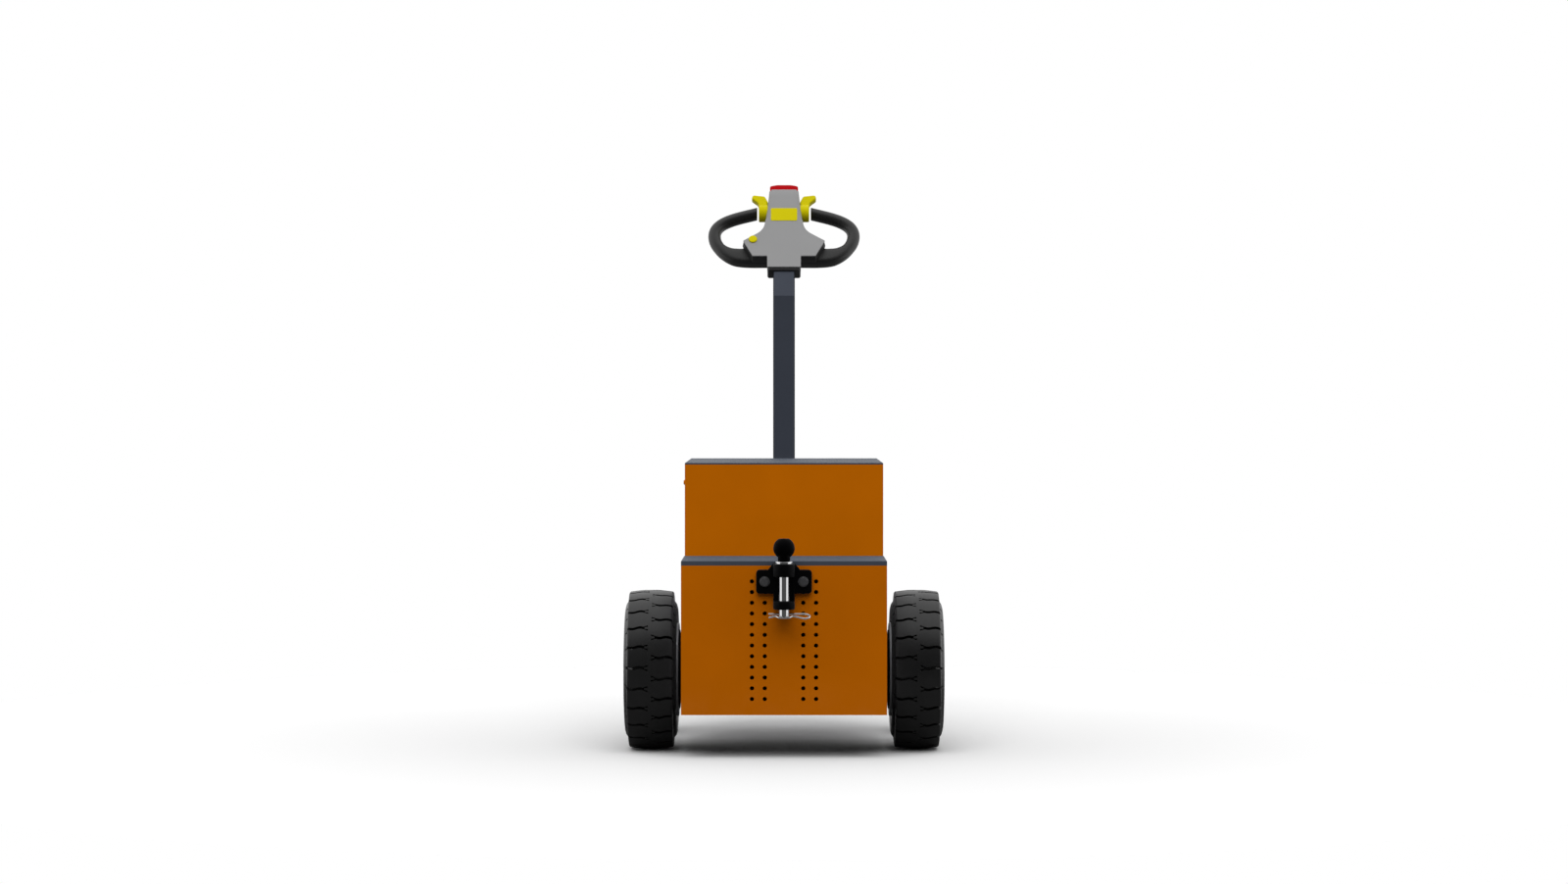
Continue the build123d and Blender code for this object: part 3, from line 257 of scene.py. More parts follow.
def rounded(corners, radii, closed=True, steps=7):
    """Outline or path with each corner replaced by an arc of its radius. The arc's middle lies
    on the corner's bisector at radius / sin(half angle), and its points turn evenly from one
    run to the other. Works in the plane and in space."""
    corners = np.asarray(corners, float)
    radii = np.broadcast_to(np.asarray(radii, float), len(corners))[:, None]
    back = np.roll(corners, 1, 0) - corners
    on = np.roll(corners, -1, 0) - corners
    back /= np.linalg.norm(back, axis=1, keepdims=True)
    on /= np.linalg.norm(on, axis=1, keepdims=True)
    half = np.arccos(np.clip((back * on).sum(1, keepdims=True), -1, 1)) / 2
    bisector = (back + on) / np.linalg.norm(back + on, axis=1, keepdims=True)
    middle = corners + bisector * radii / np.sin(half)
    first = corners + back * radii / np.tan(half) - middle
    last = corners + on * radii / np.tan(half) - middle
    swing = (pi - 2 * half)[:, None]
    t = np.linspace(0, 1, steps)[None, :, None]
    arcs = middle[:, None] + (
        np.sin((1 - t) * swing) * first[:, None] + np.sin(t * swing) * last[:, None]
    ) / np.sin(swing)
    if closed:
        return arcs.reshape(-1, corners.shape[1])
    return np.vstack((corners[:1], arcs[1:-1].reshape(-1, corners.shape[1]), corners[-1:]))


def inset(outline, distance):
    """Closed plane outline moved inward: each point goes along the mean of its two runs'
    inward normals, by distance / cos(half their angle)."""
    on = np.roll(outline, -1, 0) - outline
    on /= np.linalg.norm(on, axis=1, keepdims=True)
    back = np.roll(on, 1, 0)
    x, y = outline.T
    turn = np.sign((x * np.roll(y, -1) - np.roll(x, -1) * y).sum())
    normal = turn * np.stack((-(on + back)[:, 1], (on + back)[:, 0]), 1)
    length = np.linalg.norm(normal, axis=1, keepdims=True)
    return outline + normal / length * distance / (length / 2)


def turned(profile, centre, axis="x", segments=64):
    """Profile of (along, radius) carried round an axis through centre. Rows follow the
    profile, columns the angle."""
    along, radius = np.asarray(profile, float).T[:, :, None]
    angle = np.linspace(0, 2 * pi, segments, endpoint=False)[None]
    a, b = radius * np.cos(angle), radius * np.sin(angle)
    along = np.broadcast_to(along, a.shape)
    parts = {"x": (along, a, b), "y": (b, along, a), "z": (a, b, along)}[axis]
    return np.stack(parts, 2) + np.asarray(centre, float)


def slab(outline, low, high, edge, to_space):
    """Plane outline given thickness, with round edges: the quarter circle of radius edge
    insets the outline by edge * (1 - sin a) and lifts it by edge * (1 - cos a). One more
    ring, inset by 1.3 * edge, keeps each face flat up to its edge."""
    a = np.linspace(0, pi / 2, 5)
    insets = np.concatenate(([edge * 1.3], edge * (1 - np.sin(a))))
    lifts = np.concatenate(([0.0], edge * (1 - np.cos(a))))
    insets = np.concatenate((insets, insets[::-1]))
    levels = np.concatenate((low + lifts, high - lifts[::-1]))
    rings = [
        np.column_stack((inset(outline, less), np.full(len(outline), level)))
        for less, level in zip(insets, levels)
    ]
    return to_space(np.stack(rings))


def axes(origin, x, y, z):
    """Turns local millimetres into the machine's: origin + u * x + v * y + w * z."""
    rows = np.array((x, y, z), float)
    return lambda local: np.asarray(local, float) @ rows + np.asarray(origin, float)


def hexagon(across, low, high, chamfer, to_space):
    """Hexagonal head standing on w = low. At height w its edge lies at the smaller of the
    hexagon's radius, half across / cos(angle from the flat), and of the cone that rounds
    its corners off at the top. On the first row the cone lies far outside."""
    angle = np.linspace(0, 2 * pi, 48, endpoint=False)
    flat = across / 2 / np.cos((angle + pi / 6) % (pi / 3) - pi / 6)
    level = np.array((low, high - chamfer, high - chamfer / 2, high, high))[:, None]
    cone = across / np.array((0.001, 1.73, 1.86, 2.02, 2.6))[:, None]
    radius = np.minimum(flat, cone)
    level = np.broadcast_to(level, radius.shape)
    return to_space(np.stack((radius * np.cos(angle), radius * np.sin(angle), level), 2))


def piece(name, shells, material, body, replaces=(), loops=(), smooth=35.0):
    """Mesh object from shells in millimetres. Each shell is a grid of rows whose columns close
    into rings, and is shut by a face at each end, or closes on itself where it is in loops.
    Edges sharper than smooth degrees stay sharp."""
    points, faces, offset = [], [], 0
    for index, rows in enumerate(shells):
        n, m = rows.shape[:2]
        looped = index in loops
        i = np.arange(n if looped else n - 1)[:, None] * m
        j = np.arange(m)[None]
        after_i = (i + m) % (n * m)
        after_j = (j + 1) % m
        quads = np.stack((i + j, i + after_j, after_i + after_j, after_i + j), 2)
        faces += (quads.reshape(-1, 4) + offset).tolist()
        if not looped:
            first_row = offset + np.arange(m)
            faces += [first_row[::-1].tolist(), (first_row + (n - 1) * m).tolist()]
        points.append(rows.reshape(-1, 3))
        offset += n * m
    mesh = bpy.data.meshes.new(name)
    mesh.from_pydata((np.concatenate(points) / 1000).tolist(), [], faces)
    shape = bmesh.new()
    shape.from_mesh(mesh)
    bmesh.ops.remove_doubles(shape, verts=shape.verts, dist=1e-6)
    bmesh.ops.recalc_face_normals(shape, faces=shape.faces)
    shape.to_mesh(mesh)
    shape.free()
    mesh.polygons.foreach_set("use_smooth", [True] * len(mesh.polygons))
    mesh.set_sharp_from_angle(angle=radians(smooth))
    mesh.materials.append(material)
    made = bpy.data.objects.new(name, mesh)
    bpy.context.scene.collection.objects.link(made)
    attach(made, body)
    if replaces:
        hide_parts(*replaces)


def span(solid):
    """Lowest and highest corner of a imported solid, in millimetres."""
    low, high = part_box(solid)
    return np.array(low) * 1000, np.array(high) * 1000


rear_y = span("chassis_shell")[1][1]
screw_z = span("lid_hinges")[0][2] + 11.0
# Screw head: distance off the rear wall, radius
screw_head = np.array(((2.5, 0), (2.5, 3.6), (3.1, 3.5), (3.9, 2.4), (4.2, 0)))
screws = [
    turned(screw_head + (rear_y, 0), (x, 0, screw_z), "y", 20)
    for x in (-170.0, -130.0, 130.0, 170.0)
]
piece("hinge_screws", screws, zinc, "chassis")

# Hitch: a black cast jaw bolted through two ears, with a throat for a drawbar eye. The
# turned pin hangs in it by its collar, carries the towing ball on its neck, and is kept in
# by a wire clip through its tail.
jaw_low, jaw_high = span("hitch_jaw")
jaw_drop, jaw_rise, jaw_half = 62.0, 43.5, 25.0  # from the bolts down and up, half its width
face_y = jaw_high[1]
bolt_x, bolt_z = 45, jaw_low[2] + jaw_drop
pin_y = face_y - 60.0
jaw_black = finish(
    "hitch_black", (0.0025, 0.0025, 0.0028), 0.45, grain=240.0, depth=0.00018, mottle=0.2,
    dust=(0.5, 0.0, 0.002), Specular_IOR_Level=0.05,
)
to_face = axes((0, face_y, bolt_z), (1, 0, 0), (0, 0, 1), (0, -1, 0))
to_floor = axes((0, pin_y, bolt_z), (1, 0, 0), (0, 1, 0), (0, 0, 1))
ears = rounded(((-65, -28), (65, -28), (65, 28), (-65, 28)), 8.0)
spine = rounded(
    (
        (-jaw_half, -jaw_drop), (jaw_half, -jaw_drop), (jaw_half, 10), (38.5, 27),
        (24.3, jaw_rise), (-24.3, jaw_rise), (-38.5, 27), (-jaw_half, 10),
    ),
    (4, 4, 8, 4, 4, 4, 4, 8),
)
# Lip of each jaw: a half circle round the pin, and the two corners of its root
around = np.linspace(pi, 2 * pi, 25)
nose = jaw_half * np.column_stack((np.cos(around), np.sin(around)))
root = rounded(((jaw_half, 0), (jaw_half, 57), (-jaw_half, 57), (-jaw_half, 0)), 4.2)[7:21]
lip = np.vstack((nose, root))
casting_edge = 3.0
piece(
    "hitch_jaw_casting",
    (
        slab(ears, 0.0, 15.0, casting_edge, to_face),
        slab(spine, 0.5, 15.6, casting_edge, to_face),
        slab(lip, -jaw_drop, -42.5, casting_edge, to_floor),
        slab(lip, 13.5, jaw_rise, casting_edge, to_floor),
    ),
    jaw_black, "chassis", ("hitch_jaw",),
)

bolt_dark = finish(
    "blackened_bolt", (0.12, 0.12, 0.125), 0.4, grain=500.0, depth=0.00005, Metallic=0.6,
)
# Washer: distance off the hitch plate, radius
washer = np.array(((15, 0), (15, 12), (17, 12), (17.5, 11.4), (17.5, 0)))
heads = []
for x in (-bolt_x, bolt_x):
    at_bolt = axes((x, face_y, bolt_z), (1, 0, 0), (0, 0, 1), (0, -1, 0))
    heads.append(turned(washer * (-1, 1) + (face_y, 0), (x, 0, bolt_z), "y", 48))
    heads.append(hexagon(18.0, 17.5, 25.0, 1.6, at_bolt))
piece("hitch_bolt_heads", heads, bolt_dark, "chassis", ("hitch_bolts",))

pin_r, collar_r, collar_h, tail = 11.25, 20, 5.6, 19.0
collar_z = bolt_z + jaw_rise
pin_end = bolt_z - jaw_drop - tail
ball_r, neck_r = 25, 14.5
ball_z, neck_z = collar_z + 36.5, collar_z + 5.5
ball_black = finish(
    "ball_black", (0.0014, 0.0014, 0.0016), 0.38, grain=300.0, depth=0.00002, mottle=0.25,
    dust=(0.5, 0.0, 0.0), Specular_IOR_Level=0.02,
)
neck = rounded(
    ((10, neck_z), (neck_r, neck_z), (neck_r, ball_z - 18)), (0.1, 2.5, 0.1), closed=False,
)
sphere = np.linspace(-0.92, 1.07, 34)
ball = np.column_stack((ball_z + ball_r * np.sin(sphere), ball_r * np.cos(sphere)))
# Flat top with a shallow centre mark: height over the ball's middle, radius
top = np.array(((22.3, 11.2), (22.3, 5.6), (21.5, 5.0), (21.5, 0))) + (ball_z, 0)
profile = np.vstack((((neck_z, 0),), neck[:, ::-1], ball, top))
piece(
    "towing_ball", (turned(profile, (0, pin_y, 0), "z", 72),), ball_black, "chassis",
    ("hitch_ball_pin",),
)

turned_steel = finish(
    "turned_steel", (0.84, 0.84, 0.85), 0.08, grain=180.0, depth=0.000008, mottle=0.06,
    stretch=(0.3, 0.3, 9.0), Metallic=1.0,
)
profile = rounded(
    (
        (0, pin_end), (pin_r, pin_end), (pin_r, collar_z), (collar_r, collar_z),
        (collar_r, collar_z + collar_h), (0, collar_z + collar_h),
    ),
    (0.1, 2.0, 0.3, 0.9, 1.2, 0.1), closed=False, steps=5,
)
# A ring near each end of the shaft, so that it shines as a straight cylinder between them
profile = np.insert(profile, 6, ((pin_r, pin_end + 3.5), (pin_r, collar_z - 2.0)), 0)
piece(
    "hitch_pin", (turned(profile[:, ::-1], (0, pin_y, 0), "z", 64),), turned_steel, "chassis",
    ("hitch_ball_pin",),
)


def evenly(path, count):
    """Path resampled at equal steps of its own length."""
    run = np.concatenate(((0.0,), np.cumsum(np.linalg.norm(np.diff(path, axis=0), axis=1))))
    at = np.linspace(0, run[-1], count)
    return np.column_stack([np.interp(at, run, part) for part in path.T])


def carried(path, across, thick, normal, power=2.0, steps=28, end_round=1.0):
    """Ring carried along a path in one plane: at each point it is the curve
    |u / across|^power + |w / thick|^power = 1, with u square to the path in its plane and w
    along the normal. Both ends shrink on a quarter circle of end_round."""
    path = np.asarray(path, float)
    normal = np.asarray(normal, float)
    heading = np.gradient(path, axis=0)
    heading /= np.linalg.norm(heading, axis=1, keepdims=True)
    a = np.linspace(0, pi / 2, 5)[:-1]
    shrink = end_round * (1 - np.sin(a))
    ahead = end_round * (1 - np.cos(a))
    path = np.vstack((
        path[0] + heading[0] * ahead[:, None], path[1:-1],
        path[-1] - heading[-1] * ahead[::-1, None],
    ))

    def stretched(values):
        """Values along the path, with both end values held over the rounded ends."""
        first, last = np.repeat(values[:1], len(a), 0), np.repeat(values[-1:], len(a), 0)
        return np.concatenate((first, values[1:-1], last))

    side = stretched(np.cross(heading, normal))
    less = np.concatenate((shrink, np.zeros(len(side) - 2 * len(a)), shrink[::-1]))[:, None]
    across = stretched(np.broadcast_to(across, len(heading)))[:, None] - less
    thick = np.full_like(across, thick) - less
    power = stretched(np.broadcast_to(power, len(heading)))[:, None]
    angle = np.linspace(0, 2 * pi, steps, endpoint=False)[None]
    u = across * np.sign(np.cos(angle)) * np.abs(np.cos(angle)) ** (2 / power)
    w = thick * np.sign(np.sin(angle)) * np.abs(np.sin(angle)) ** (2 / power)
    return path[:, None] + u[:, :, None] * side[:, None] + w[:, :, None] * normal


# Clip's wire: across the machine, towards the plate. It is tilted about the pin's hole.
wire_r, hole_up, level, rise = 2.0, 8.5, 0.86, 0.5
wire = rounded(
    (
        (-36, 0), (49, 0), (59.5, -5), (59.5, -15), (49, -20), (20.3, -9), (11.3, -16.2),
        (-11.3, -16.2), (-20.3, -9), (-35, -15.5),
    ),
    (1, 5, 5, 5, 5, 5, 5, 5, 5, 1), closed=False,
)
x, y = wire.T
wire = evenly(np.column_stack((x, pin_y + level * y, pin_end + hole_up + rise * y)), 220)
piece(
    "wire_clip",
    (carried(wire, wire_r, wire_r, (0, -rise, level), steps=14, end_round=0.8),),
    turned_steel, "chassis", ("hitch_clip",),
)

# Drive wheels: solid 15 x 4 1/2 - 8 tyres, moulded in one with their lugs. From each
# shoulder 24 wavy grooves run in and fork beside the plain middle band, and the two sides
# are staggered. A silver pressed rim with a dished disc is bolted to the hub.
tyre_low, tyre_high = span("drive_tyre_right")
tyre_r = (tyre_high[2] - tyre_low[2]) / 2
tyre_rubber = finish(
    "solid_rubber", (0.004, 0.004, 0.0042), 0.38, grain=700.0, depth=0.00022, mottle=0.25,
    dust=(0.42, 0.03, 0.012), dust_and_sheen_colour=(0.16, 0.15, 0.14), Specular_IOR_Level=0.65,
)


def tyre_skin(centre, start):
    """Rows run from one bead over the tread to the other, columns round the tyre. A column's
    angle is its even place, plus what draws the columns together at the grooves' edges,
    plus the grooves' wave. Its radius is the profile's, held down to the groove's floor
    where the column lies in a groove. The grooves of the side towards +X are shifted by
    start columns, and the other side's by half a groove's pitch less that."""
    grooves, columns, lead = 24, 14, 2.6
    pitch = 360.0 / grooves
    fork_in, fork_out, shoulder = 4.8, 12.8, 60
    edge, fork_edge = 0.75, 1.05
    swing, wave_length = 0.55, 38
    even = np.arange(-7, 7) * pitch / columns
    drawn = np.array(
        (-7.5, -5.2, -3.4, -2.0, -1.3, -fork_edge, -edge, 0, edge, fork_edge, 1.3, 2.0, 3.4, 5.2)
    )
    forked = np.array(
        (-7.5, -5.6, -4.0, -2.9, -2.2, -1.5, -0.85, 0, 0.85, 1.5, 2.2, 2.9, 4.0, 5.6)
    )
    groove = (np.abs(drawn) <= edge).astype(float)
    fork = np.isclose(np.abs(drawn), fork_edge).astype(float)

    # Half profile: distance from the middle plane, radius
    middle = np.array((0, 2.4, 3.8, fork_in, 8, 11.6, fork_out))
    middle = np.column_stack((middle, np.full(len(middle), tyre_r)))
    tread = np.array((16.0, 20, 24, 28, 32, 36, 40, 45, 49))
    tread = np.column_stack((tread, tyre_r - 3.8 * (np.maximum(tread - 14, 0) / 36) ** 1.4))
    flank = rounded(
        (
            (50, tyre_r - 3.8), (53, tyre_r - 6.0), (54.6, 165), (60, 157), (62.8, 147),
            (60.4, 138), (61.4, 134.5), (61.4, 131), (60, 118), (56, 112), (56, 101.6),
        ),
        (1, 2.5, 4, 5, 7, 2.5, 0.8, 0.8, 6, 2, 1), closed=False, steps=6,
    )
    half = np.vstack((middle, tread, flank))
    x, r = half[:, :1], half[:, 1:]
    ease = np.clip(x / 3.8, 0, 1)
    fork_share = np.clip((fork_out - x) / (fork_out - fork_in), 0, 1)
    past_fork = x - fork_out
    wave = swing * np.sin(past_fork / wave_length * 2 * pi)
    wave = wave * np.clip(past_fork / 6, 0, 1) * (x < shoulder)
    groove_floor = np.interp(x, (40, 52), (tyre_r - 12.0, 161.0))
    depth = np.maximum(r - groove_floor, 0.0) * (x < shoulder)
    drawn_in = (drawn - even) * (1 - fork_share) + (forked - even) * fork_share
    cut_in = np.where(x >= fork_out, groove, np.where(x >= fork_in, 0.5 * fork, 0.0))
    sides = []
    for side, roll in ((1, start), (-1, columns // 2 - start)):
        pull = np.roll(np.tile(drawn_in * ease, grooves), roll, 1)
        cut = np.roll(np.tile(cut_in, grooves), roll, 1)
        place = np.tile(even, grooves) + np.repeat(np.arange(grooves) * pitch, columns)
        turn = np.radians(lead + place + pull + wave * side)
        radius = r - cut * depth
        across = np.broadcast_to(side * x, radius.shape)
        sides.append(np.stack((across, radius * np.cos(turn), radius * np.sin(turn)), 2))
    return np.vstack((sides[1][:0:-1], sides[0])) + np.asarray(centre, float)


rim_silver = finish(
    "rim_silver", (0.60, 0.61, 0.63), 0.36, grain=500.0, depth=0.00004, mottle=0.05,
    dust=(0.4, 0.25, 0.1), Metallic=0.55,
)
# Rim section: distance out from the middle plane, radius
flange_r, seat_r, well_r, bore_r, seat_x = 112, 101.6, 96.6, 31.6, 56
rim_section = rounded(
    (
        (-66.2, flange_r), (-seat_x, flange_r), (-seat_x, seat_r), (seat_x, seat_r),
        (seat_x, flange_r), (61, flange_r), (61, well_r), (28, well_r), (14, 72), (14, bore_r),
        (6, bore_r), (6, 72), (19, well_r), (-66.2, well_r),
    ),
    (2.2, 2.2, 1.5, 1.5, 2.2, 2.2, 5, 6, 16, 1, 1, 18, 8, 5),
)
rim_section[:, 1] = np.minimum(rim_section[:, 1], flange_r)
# Hub, also out from the middle plane: shaft, brake drum, barrel and the flange for the rim
shaft_r, drum_r, barrel_r, hub_flange_r, hub_face = 17.5, 95.5, 30, 70, 6
hub_section = np.array((
    (-76, shaft_r), (-76, barrel_r), (-71, 32), (-68.5, drum_r), (-62, drum_r), (-62, barrel_r),
    (-4, barrel_r), (-4, hub_flange_r), (hub_face, hub_flange_r), (hub_face, 0),
))
spigot = np.array(((hub_face, 0), (hub_face, 31.5), (32, 31.5), (32, 0)))
dust_cap = np.array(((31, 0), (31, 24), (32.6, 24), (33, 23.2), (33, 0)))
# Wheel nuts on the rim's disc: distance off the disc, radius
nut_circle, disc_face = 52, 14
nut_washer = np.array(((0, 0), (0, 11.5), (1.6, 11.2), (2.4, 9.5), (2.4, 0)))
stud_end = np.array(((9, 0), (9, 5.8), (16, 5.8), (17, 4.8), (17, 0)))
for side, out in (("left", -1), ("right", 1)):
    low, high = span(f"drive_tyre_{side}")
    centre = (low + high) / 2
    piece(
        f"lugged_tyre_{side}", (tyre_skin(centre, 0 if out < 0 else 7),), tyre_rubber,
        f"{side}_wheel", (f"drive_tyre_{side}",), loops=(0,), smooth=28.0,
    )
    piece(
        f"pressed_rim_{side}", (turned(rim_section * (out, 1), centre, "x", 112),), rim_silver,
        f"{side}_wheel", (f"wheel_rim_{side}",), loops=(0,),
    )
    hub_low, hub_high = span(f"wheel_hub_{side}")
    inner = (hub_low[0] if out > 0 else hub_high[0]) - centre[0]
    hub = rounded(
        np.vstack((((inner, 0), (inner, shaft_r)), hub_section * (out, 1))),
        (0.1, 1, 0.5, 1.2, 1.5, 2, 1.5, 4, 4, 1.2, 1, 0.1), closed=False, steps=5,
    )
    piece(
        f"hub_sleeve_{side}", (turned(hub, centre, "x", 72),), jaw_black, f"{side}_wheel",
        (f"wheel_hub_{side}",),
    )
    nose = rounded(spigot * (out, 1), (0.1, 1, 3, 0.1), closed=False, steps=5)
    shells = [turned(nose, centre, "x", 72), turned(dust_cap * (out, 1), centre, "x", 56)]
    for spoke in np.linspace(0, 2 * pi, 5, endpoint=False):
        seat = centre + (out * disc_face, nut_circle * sin(spoke), nut_circle * cos(spoke))
        at_nut = axes(seat, (0, 1, 0), (0, 0, 1), (out, 0, 0))
        shells.append(hexagon(18.0, 1.5, 12.5, 1.8, at_nut))
        shells.append(turned(nut_washer * (out, 1), seat, "x", 32))
        shells.append(turned(stud_end * (out, 1), seat, "x", 24))
    piece(
        f"hub_and_nuts_{side}", shells, zinc, f"{side}_wheel",
        (f"wheel_hub_{side}",),
    )

# Castor beam and castors: a coated rectangular tube with moulded end caps, and at each end
# a zinc plated swivel castor with a grey nylon wheel and a rubber tread, bolted up to it.
dress(orange_coat, "castor_beam")
cap_plastic = finish(
    "cap_plastic", (0.016, 0.016, 0.017), 0.5, grain=900.0, depth=0.0001, dust=(0.3, 0.2, 0.05),
)
dress(cap_plastic, "beam_end_caps")
core_nylon = finish(
    "castor_nylon", (0.34, 0.35, 0.37), 0.48, grain=500.0, depth=0.00006, dust=(0.15, 0.35, 0.1),
    Subsurface_Weight=0.05,
)
castor_rubber = finish(
    "castor_rubber", (0.035, 0.035, 0.037), 0.7, grain=600.0, depth=0.00012, mottle=0.2,
    dust=(0.15, 0.35, 0.05),
)
castor_r, tread_r, bore_r, bolt_r, fork_x = 62.5, 50, 6.05, 6, 30
tread_section = rounded(
    ((-20, tread_r), (-20, 58), (-14, castor_r), (14, castor_r), (20, 58), (20, tread_r)),
    (0.5, 3, 5, 5, 3, 0.5),
)
core_section = rounded(
    (
        (-23, bore_r), (-23, 15), (-18, 17), (-8, 20), (-8, 41), (-17.5, 45), (-18.5, tread_r),
        (18.5, tread_r), (17.5, 45), (8, 41), (8, 20), (18, 17), (23, 15), (23, bore_r),
    ),
    (0.5, 1, 2, 4, 4, 1.2, 0.4, 0.4, 1.2, 4, 4, 2, 1, 0.5),
)
axle_bolt = ((-fork_x, 0), (-fork_x, bolt_r), (fork_x, bolt_r), (fork_x, 0))
dress(zinc, "castor_plate_left", "castor_plate_right", "castor_fork_left", "castor_fork_right")
hole_x, hole_y, plate_h = 30, 40, 6
for side in ("left", "right"):
    low, high = span(f"castor_tread_{side}")
    centre = (low + high) / 2
    piece(
        f"castor_tyre_{side}", (turned(tread_section, centre, "x", 88),), castor_rubber,
        f"castor_wheel_{side}", (f"castor_tread_{side}",), loops=(0,),
    )
    piece(
        f"castor_centre_{side}", (turned(core_section, centre, "x", 72),), core_nylon,
        f"castor_wheel_{side}", (f"castor_core_{side}",), loops=(0,),
    )
    shells = [turned(axle_bolt, centre, "x", 32)]
    for out in (-1, 1):
        at_head = axes(centre + (out * fork_x, 0, 0), (0, 1, 0), (0, 0, 1), (out, 0, 0))
        shells.append(hexagon(16.0, 0.0, 6.9, 1.3, at_head))
    piece(
        f"castor_bolt_{side}", shells, zinc, f"castor_fork_{side}",
        (f"castor_axle_{side}",),
    )
    low, high = span(f"castor_plate_{side}")
    middle = (low + high) / 2
    shells = []
    for x in (-hole_x, hole_x):
        for y in (-hole_y, hole_y):
            hole = (middle[0] + x, middle[1] + y, high[2] - plate_h)
            at_hole = axes(hole, (1, 0, 0), (0, -1, 0), (0, 0, -1))
            shells.append(hexagon(13.0, 0.0, 5.5, 1.0, at_hole))
    piece(f"castor_fixings_{side}", shells, zinc, "chassis")

# Tiller: a bent rectangular tube, blue-grey powder coated, that turns on a pin between the
# ears of a plate bracket. Four screws hold the bracket to the rear wall. The tube's round
# corners carry painted shade: where they turn to face sideways they are painted near-black.
stem_coat = finish(
    "stem_powder_coat", (0.060, 0.068, 0.088), 0.5, grain=420.0, depth=0.00007, mottle=0.06,
    dust=(0.3, 0.1, 0.03), Specular_IOR_Level=0.06,
)
dress(stem_coat, "tiller_stem", "tiller_bracket")
# Painted shade: where the normal turns sideways, on the tube's round corners, the base colour is
# blended to near-black
tree = stem_coat.node_tree
place = node(tree, "ShaderNodeTexCoord")
facing = node(tree, "ShaderNodeSeparateXYZ", ((0, place.outputs["Normal"]),))
sideways = result(tree, "ABSOLUTE", facing.outputs["X"])
start, stop = ramp(tree, sideways, 0.5, 0.72), ramp(tree, sideways, 0.995, 0.98)
corner = result(tree, "MULTIPLY", start, stop)
shader = next(n for n in tree.nodes if n.bl_idname == "ShaderNodeBsdfPrincipled")
paint = shader.inputs["Base Color"].links[0].from_socket
corner_painted_shade = blend(tree, corner, paint, (0.014, 0.016, 0.021, 1.0))
tree.links.new(corner_painted_shade, shader.inputs["Base Color"])
dress(zinc, "tiller_pin")
bracket_low, bracket_high = span("tiller_bracket")
bracket_z = (bracket_low[2] + bracket_high[2]) / 2
base_y, washer_h, hole_x, hole_z = rear_y + 8, 1.6, 48, 74
washer = rounded(((-8, -8), (8, -8), (8, 8), (-8, 8)), 7.9)
shells = []
for x in (-hole_x, hole_x):
    for z in (-hole_z, hole_z):
        at_hole = axes((x, base_y, bracket_z + z), (1, 0, 0), (0, 0, -1), (0, 1, 0))
        shells.append(hexagon(16.0, washer_h, 8.6, 1.4, at_hole))
        shells.append(slab(washer, 0, washer_h, 0.3, at_hole))
piece("bracket_screws", shells, zinc, "chassis")

# Tiller head: a grey moulded housing. Its tower carries the horn bar and the red belly
# button, its two wings spread over the roots of the grips, and a black sleeve joins it to
# the stem.
pin_low, pin_high = span("tiller_pin")
stem_y, bend_z = (pin_low[1] + pin_high[1]) / 2, 1100
lean = radians(35.0)
up_stem = np.array((0, sin(lean), cos(lean)))
off_face = np.array((0, -cos(lean), sin(lean)))
to_head = axes((0, stem_y, bend_z), (1, 0, 0), up_stem, off_face)
head_plastic = finish(
    "head_plastic", (0.315, 0.315, 0.318), 0.6, grain=1100.0, depth=0.00010, mottle=0.03,
    Specular_IOR_Level=0.25,
)


def mirrored(half, radii, steps=7):
    """Closed outline from its right half and the half's corner radii."""
    corners = np.vstack((half, np.asarray(half)[::-1] * (-1, 1)))
    return rounded(corners, np.concatenate((radii, radii[::-1])), steps=steps)


def tower_ring(up, less=0.0):
    """Section of the tower at a height up the stem. The front part stands a little wider than
    the back, and its corners are cut off. Widths and depth run straight between stations."""
    face = 30
    back = np.interp(up, (79, 180, 233, 334), (43.2, 43.8, 42.3, 38.0))
    front = np.interp(
        up, (79, 190, 222, 237, 254, 271, 288, 334),
        (43.6, 45, 49.2, 47.8, 45.8, 43.4, 42.2, 38.4),
    )
    foot = face - np.interp(up, (79, 95, 260, 334), (50, 58, 58, 50))
    side = ((back, foot), (back, 5), (front, 9), (front, 23), (front - 6.5, face))
    ring = inset(mirrored(side, (7, 1.5, 2, 3, 3), 5), less)
    return np.column_stack((ring[:, 0], np.full(len(ring), up), ring[:, 1]))


rows = [tower_ring(79, 2.0), tower_ring(79, 1.4), tower_ring(79.4, 0.5), tower_ring(81)]
rows += [tower_ring(up) for up in (95, 140, 190, 206, 222, 237, 254, 271, 288, 310, 331)]
rows += [tower_ring(334, 1.0), tower_ring(334, 1.6)]
# Right half of the wings, from the tower down: across, up the stem. The face has a foot too.
half = ((30, 258), (48.4, 234), (53.5, 200), (106.5, 165), (105, 160.8), (81.8, 115))
radii = (2, 20, 45, 2, 8, 2)
wings = mirrored(half, radii)
cover = mirrored((*half, (43.8, 115), (43.6, 79.3)), (*radii, 2, 2))
# Boss for each lever: distance out from the middle, radius
lever_axis = to_head((0, 276, 0))
boss = np.array(((40, 0), (40, 17.4), (46.6, 17.4), (47, 17), (47, 0)))
bosses = [turned(boss * (out, 1), lever_axis, "x", 48) for out in (-1, 1)]
piece(
    "head_housing", [to_head(np.stack(rows)), slab(cover, 25.6, 30.3, 1.2, to_head), *bosses],
    head_plastic, "tiller", ("tiller_head",),
)
shell = to_head(np.stack([
    np.column_stack((inset(wings, less), np.full(len(wings), face)))
    for face, less in ((-8, 3), (-6, 0.5), (7, -2), (23.5, 0.6), (25.8, 1.4))
]))
piece("head_undershell", (shell,), cap_plastic, "tiller", ("tiller_head",))

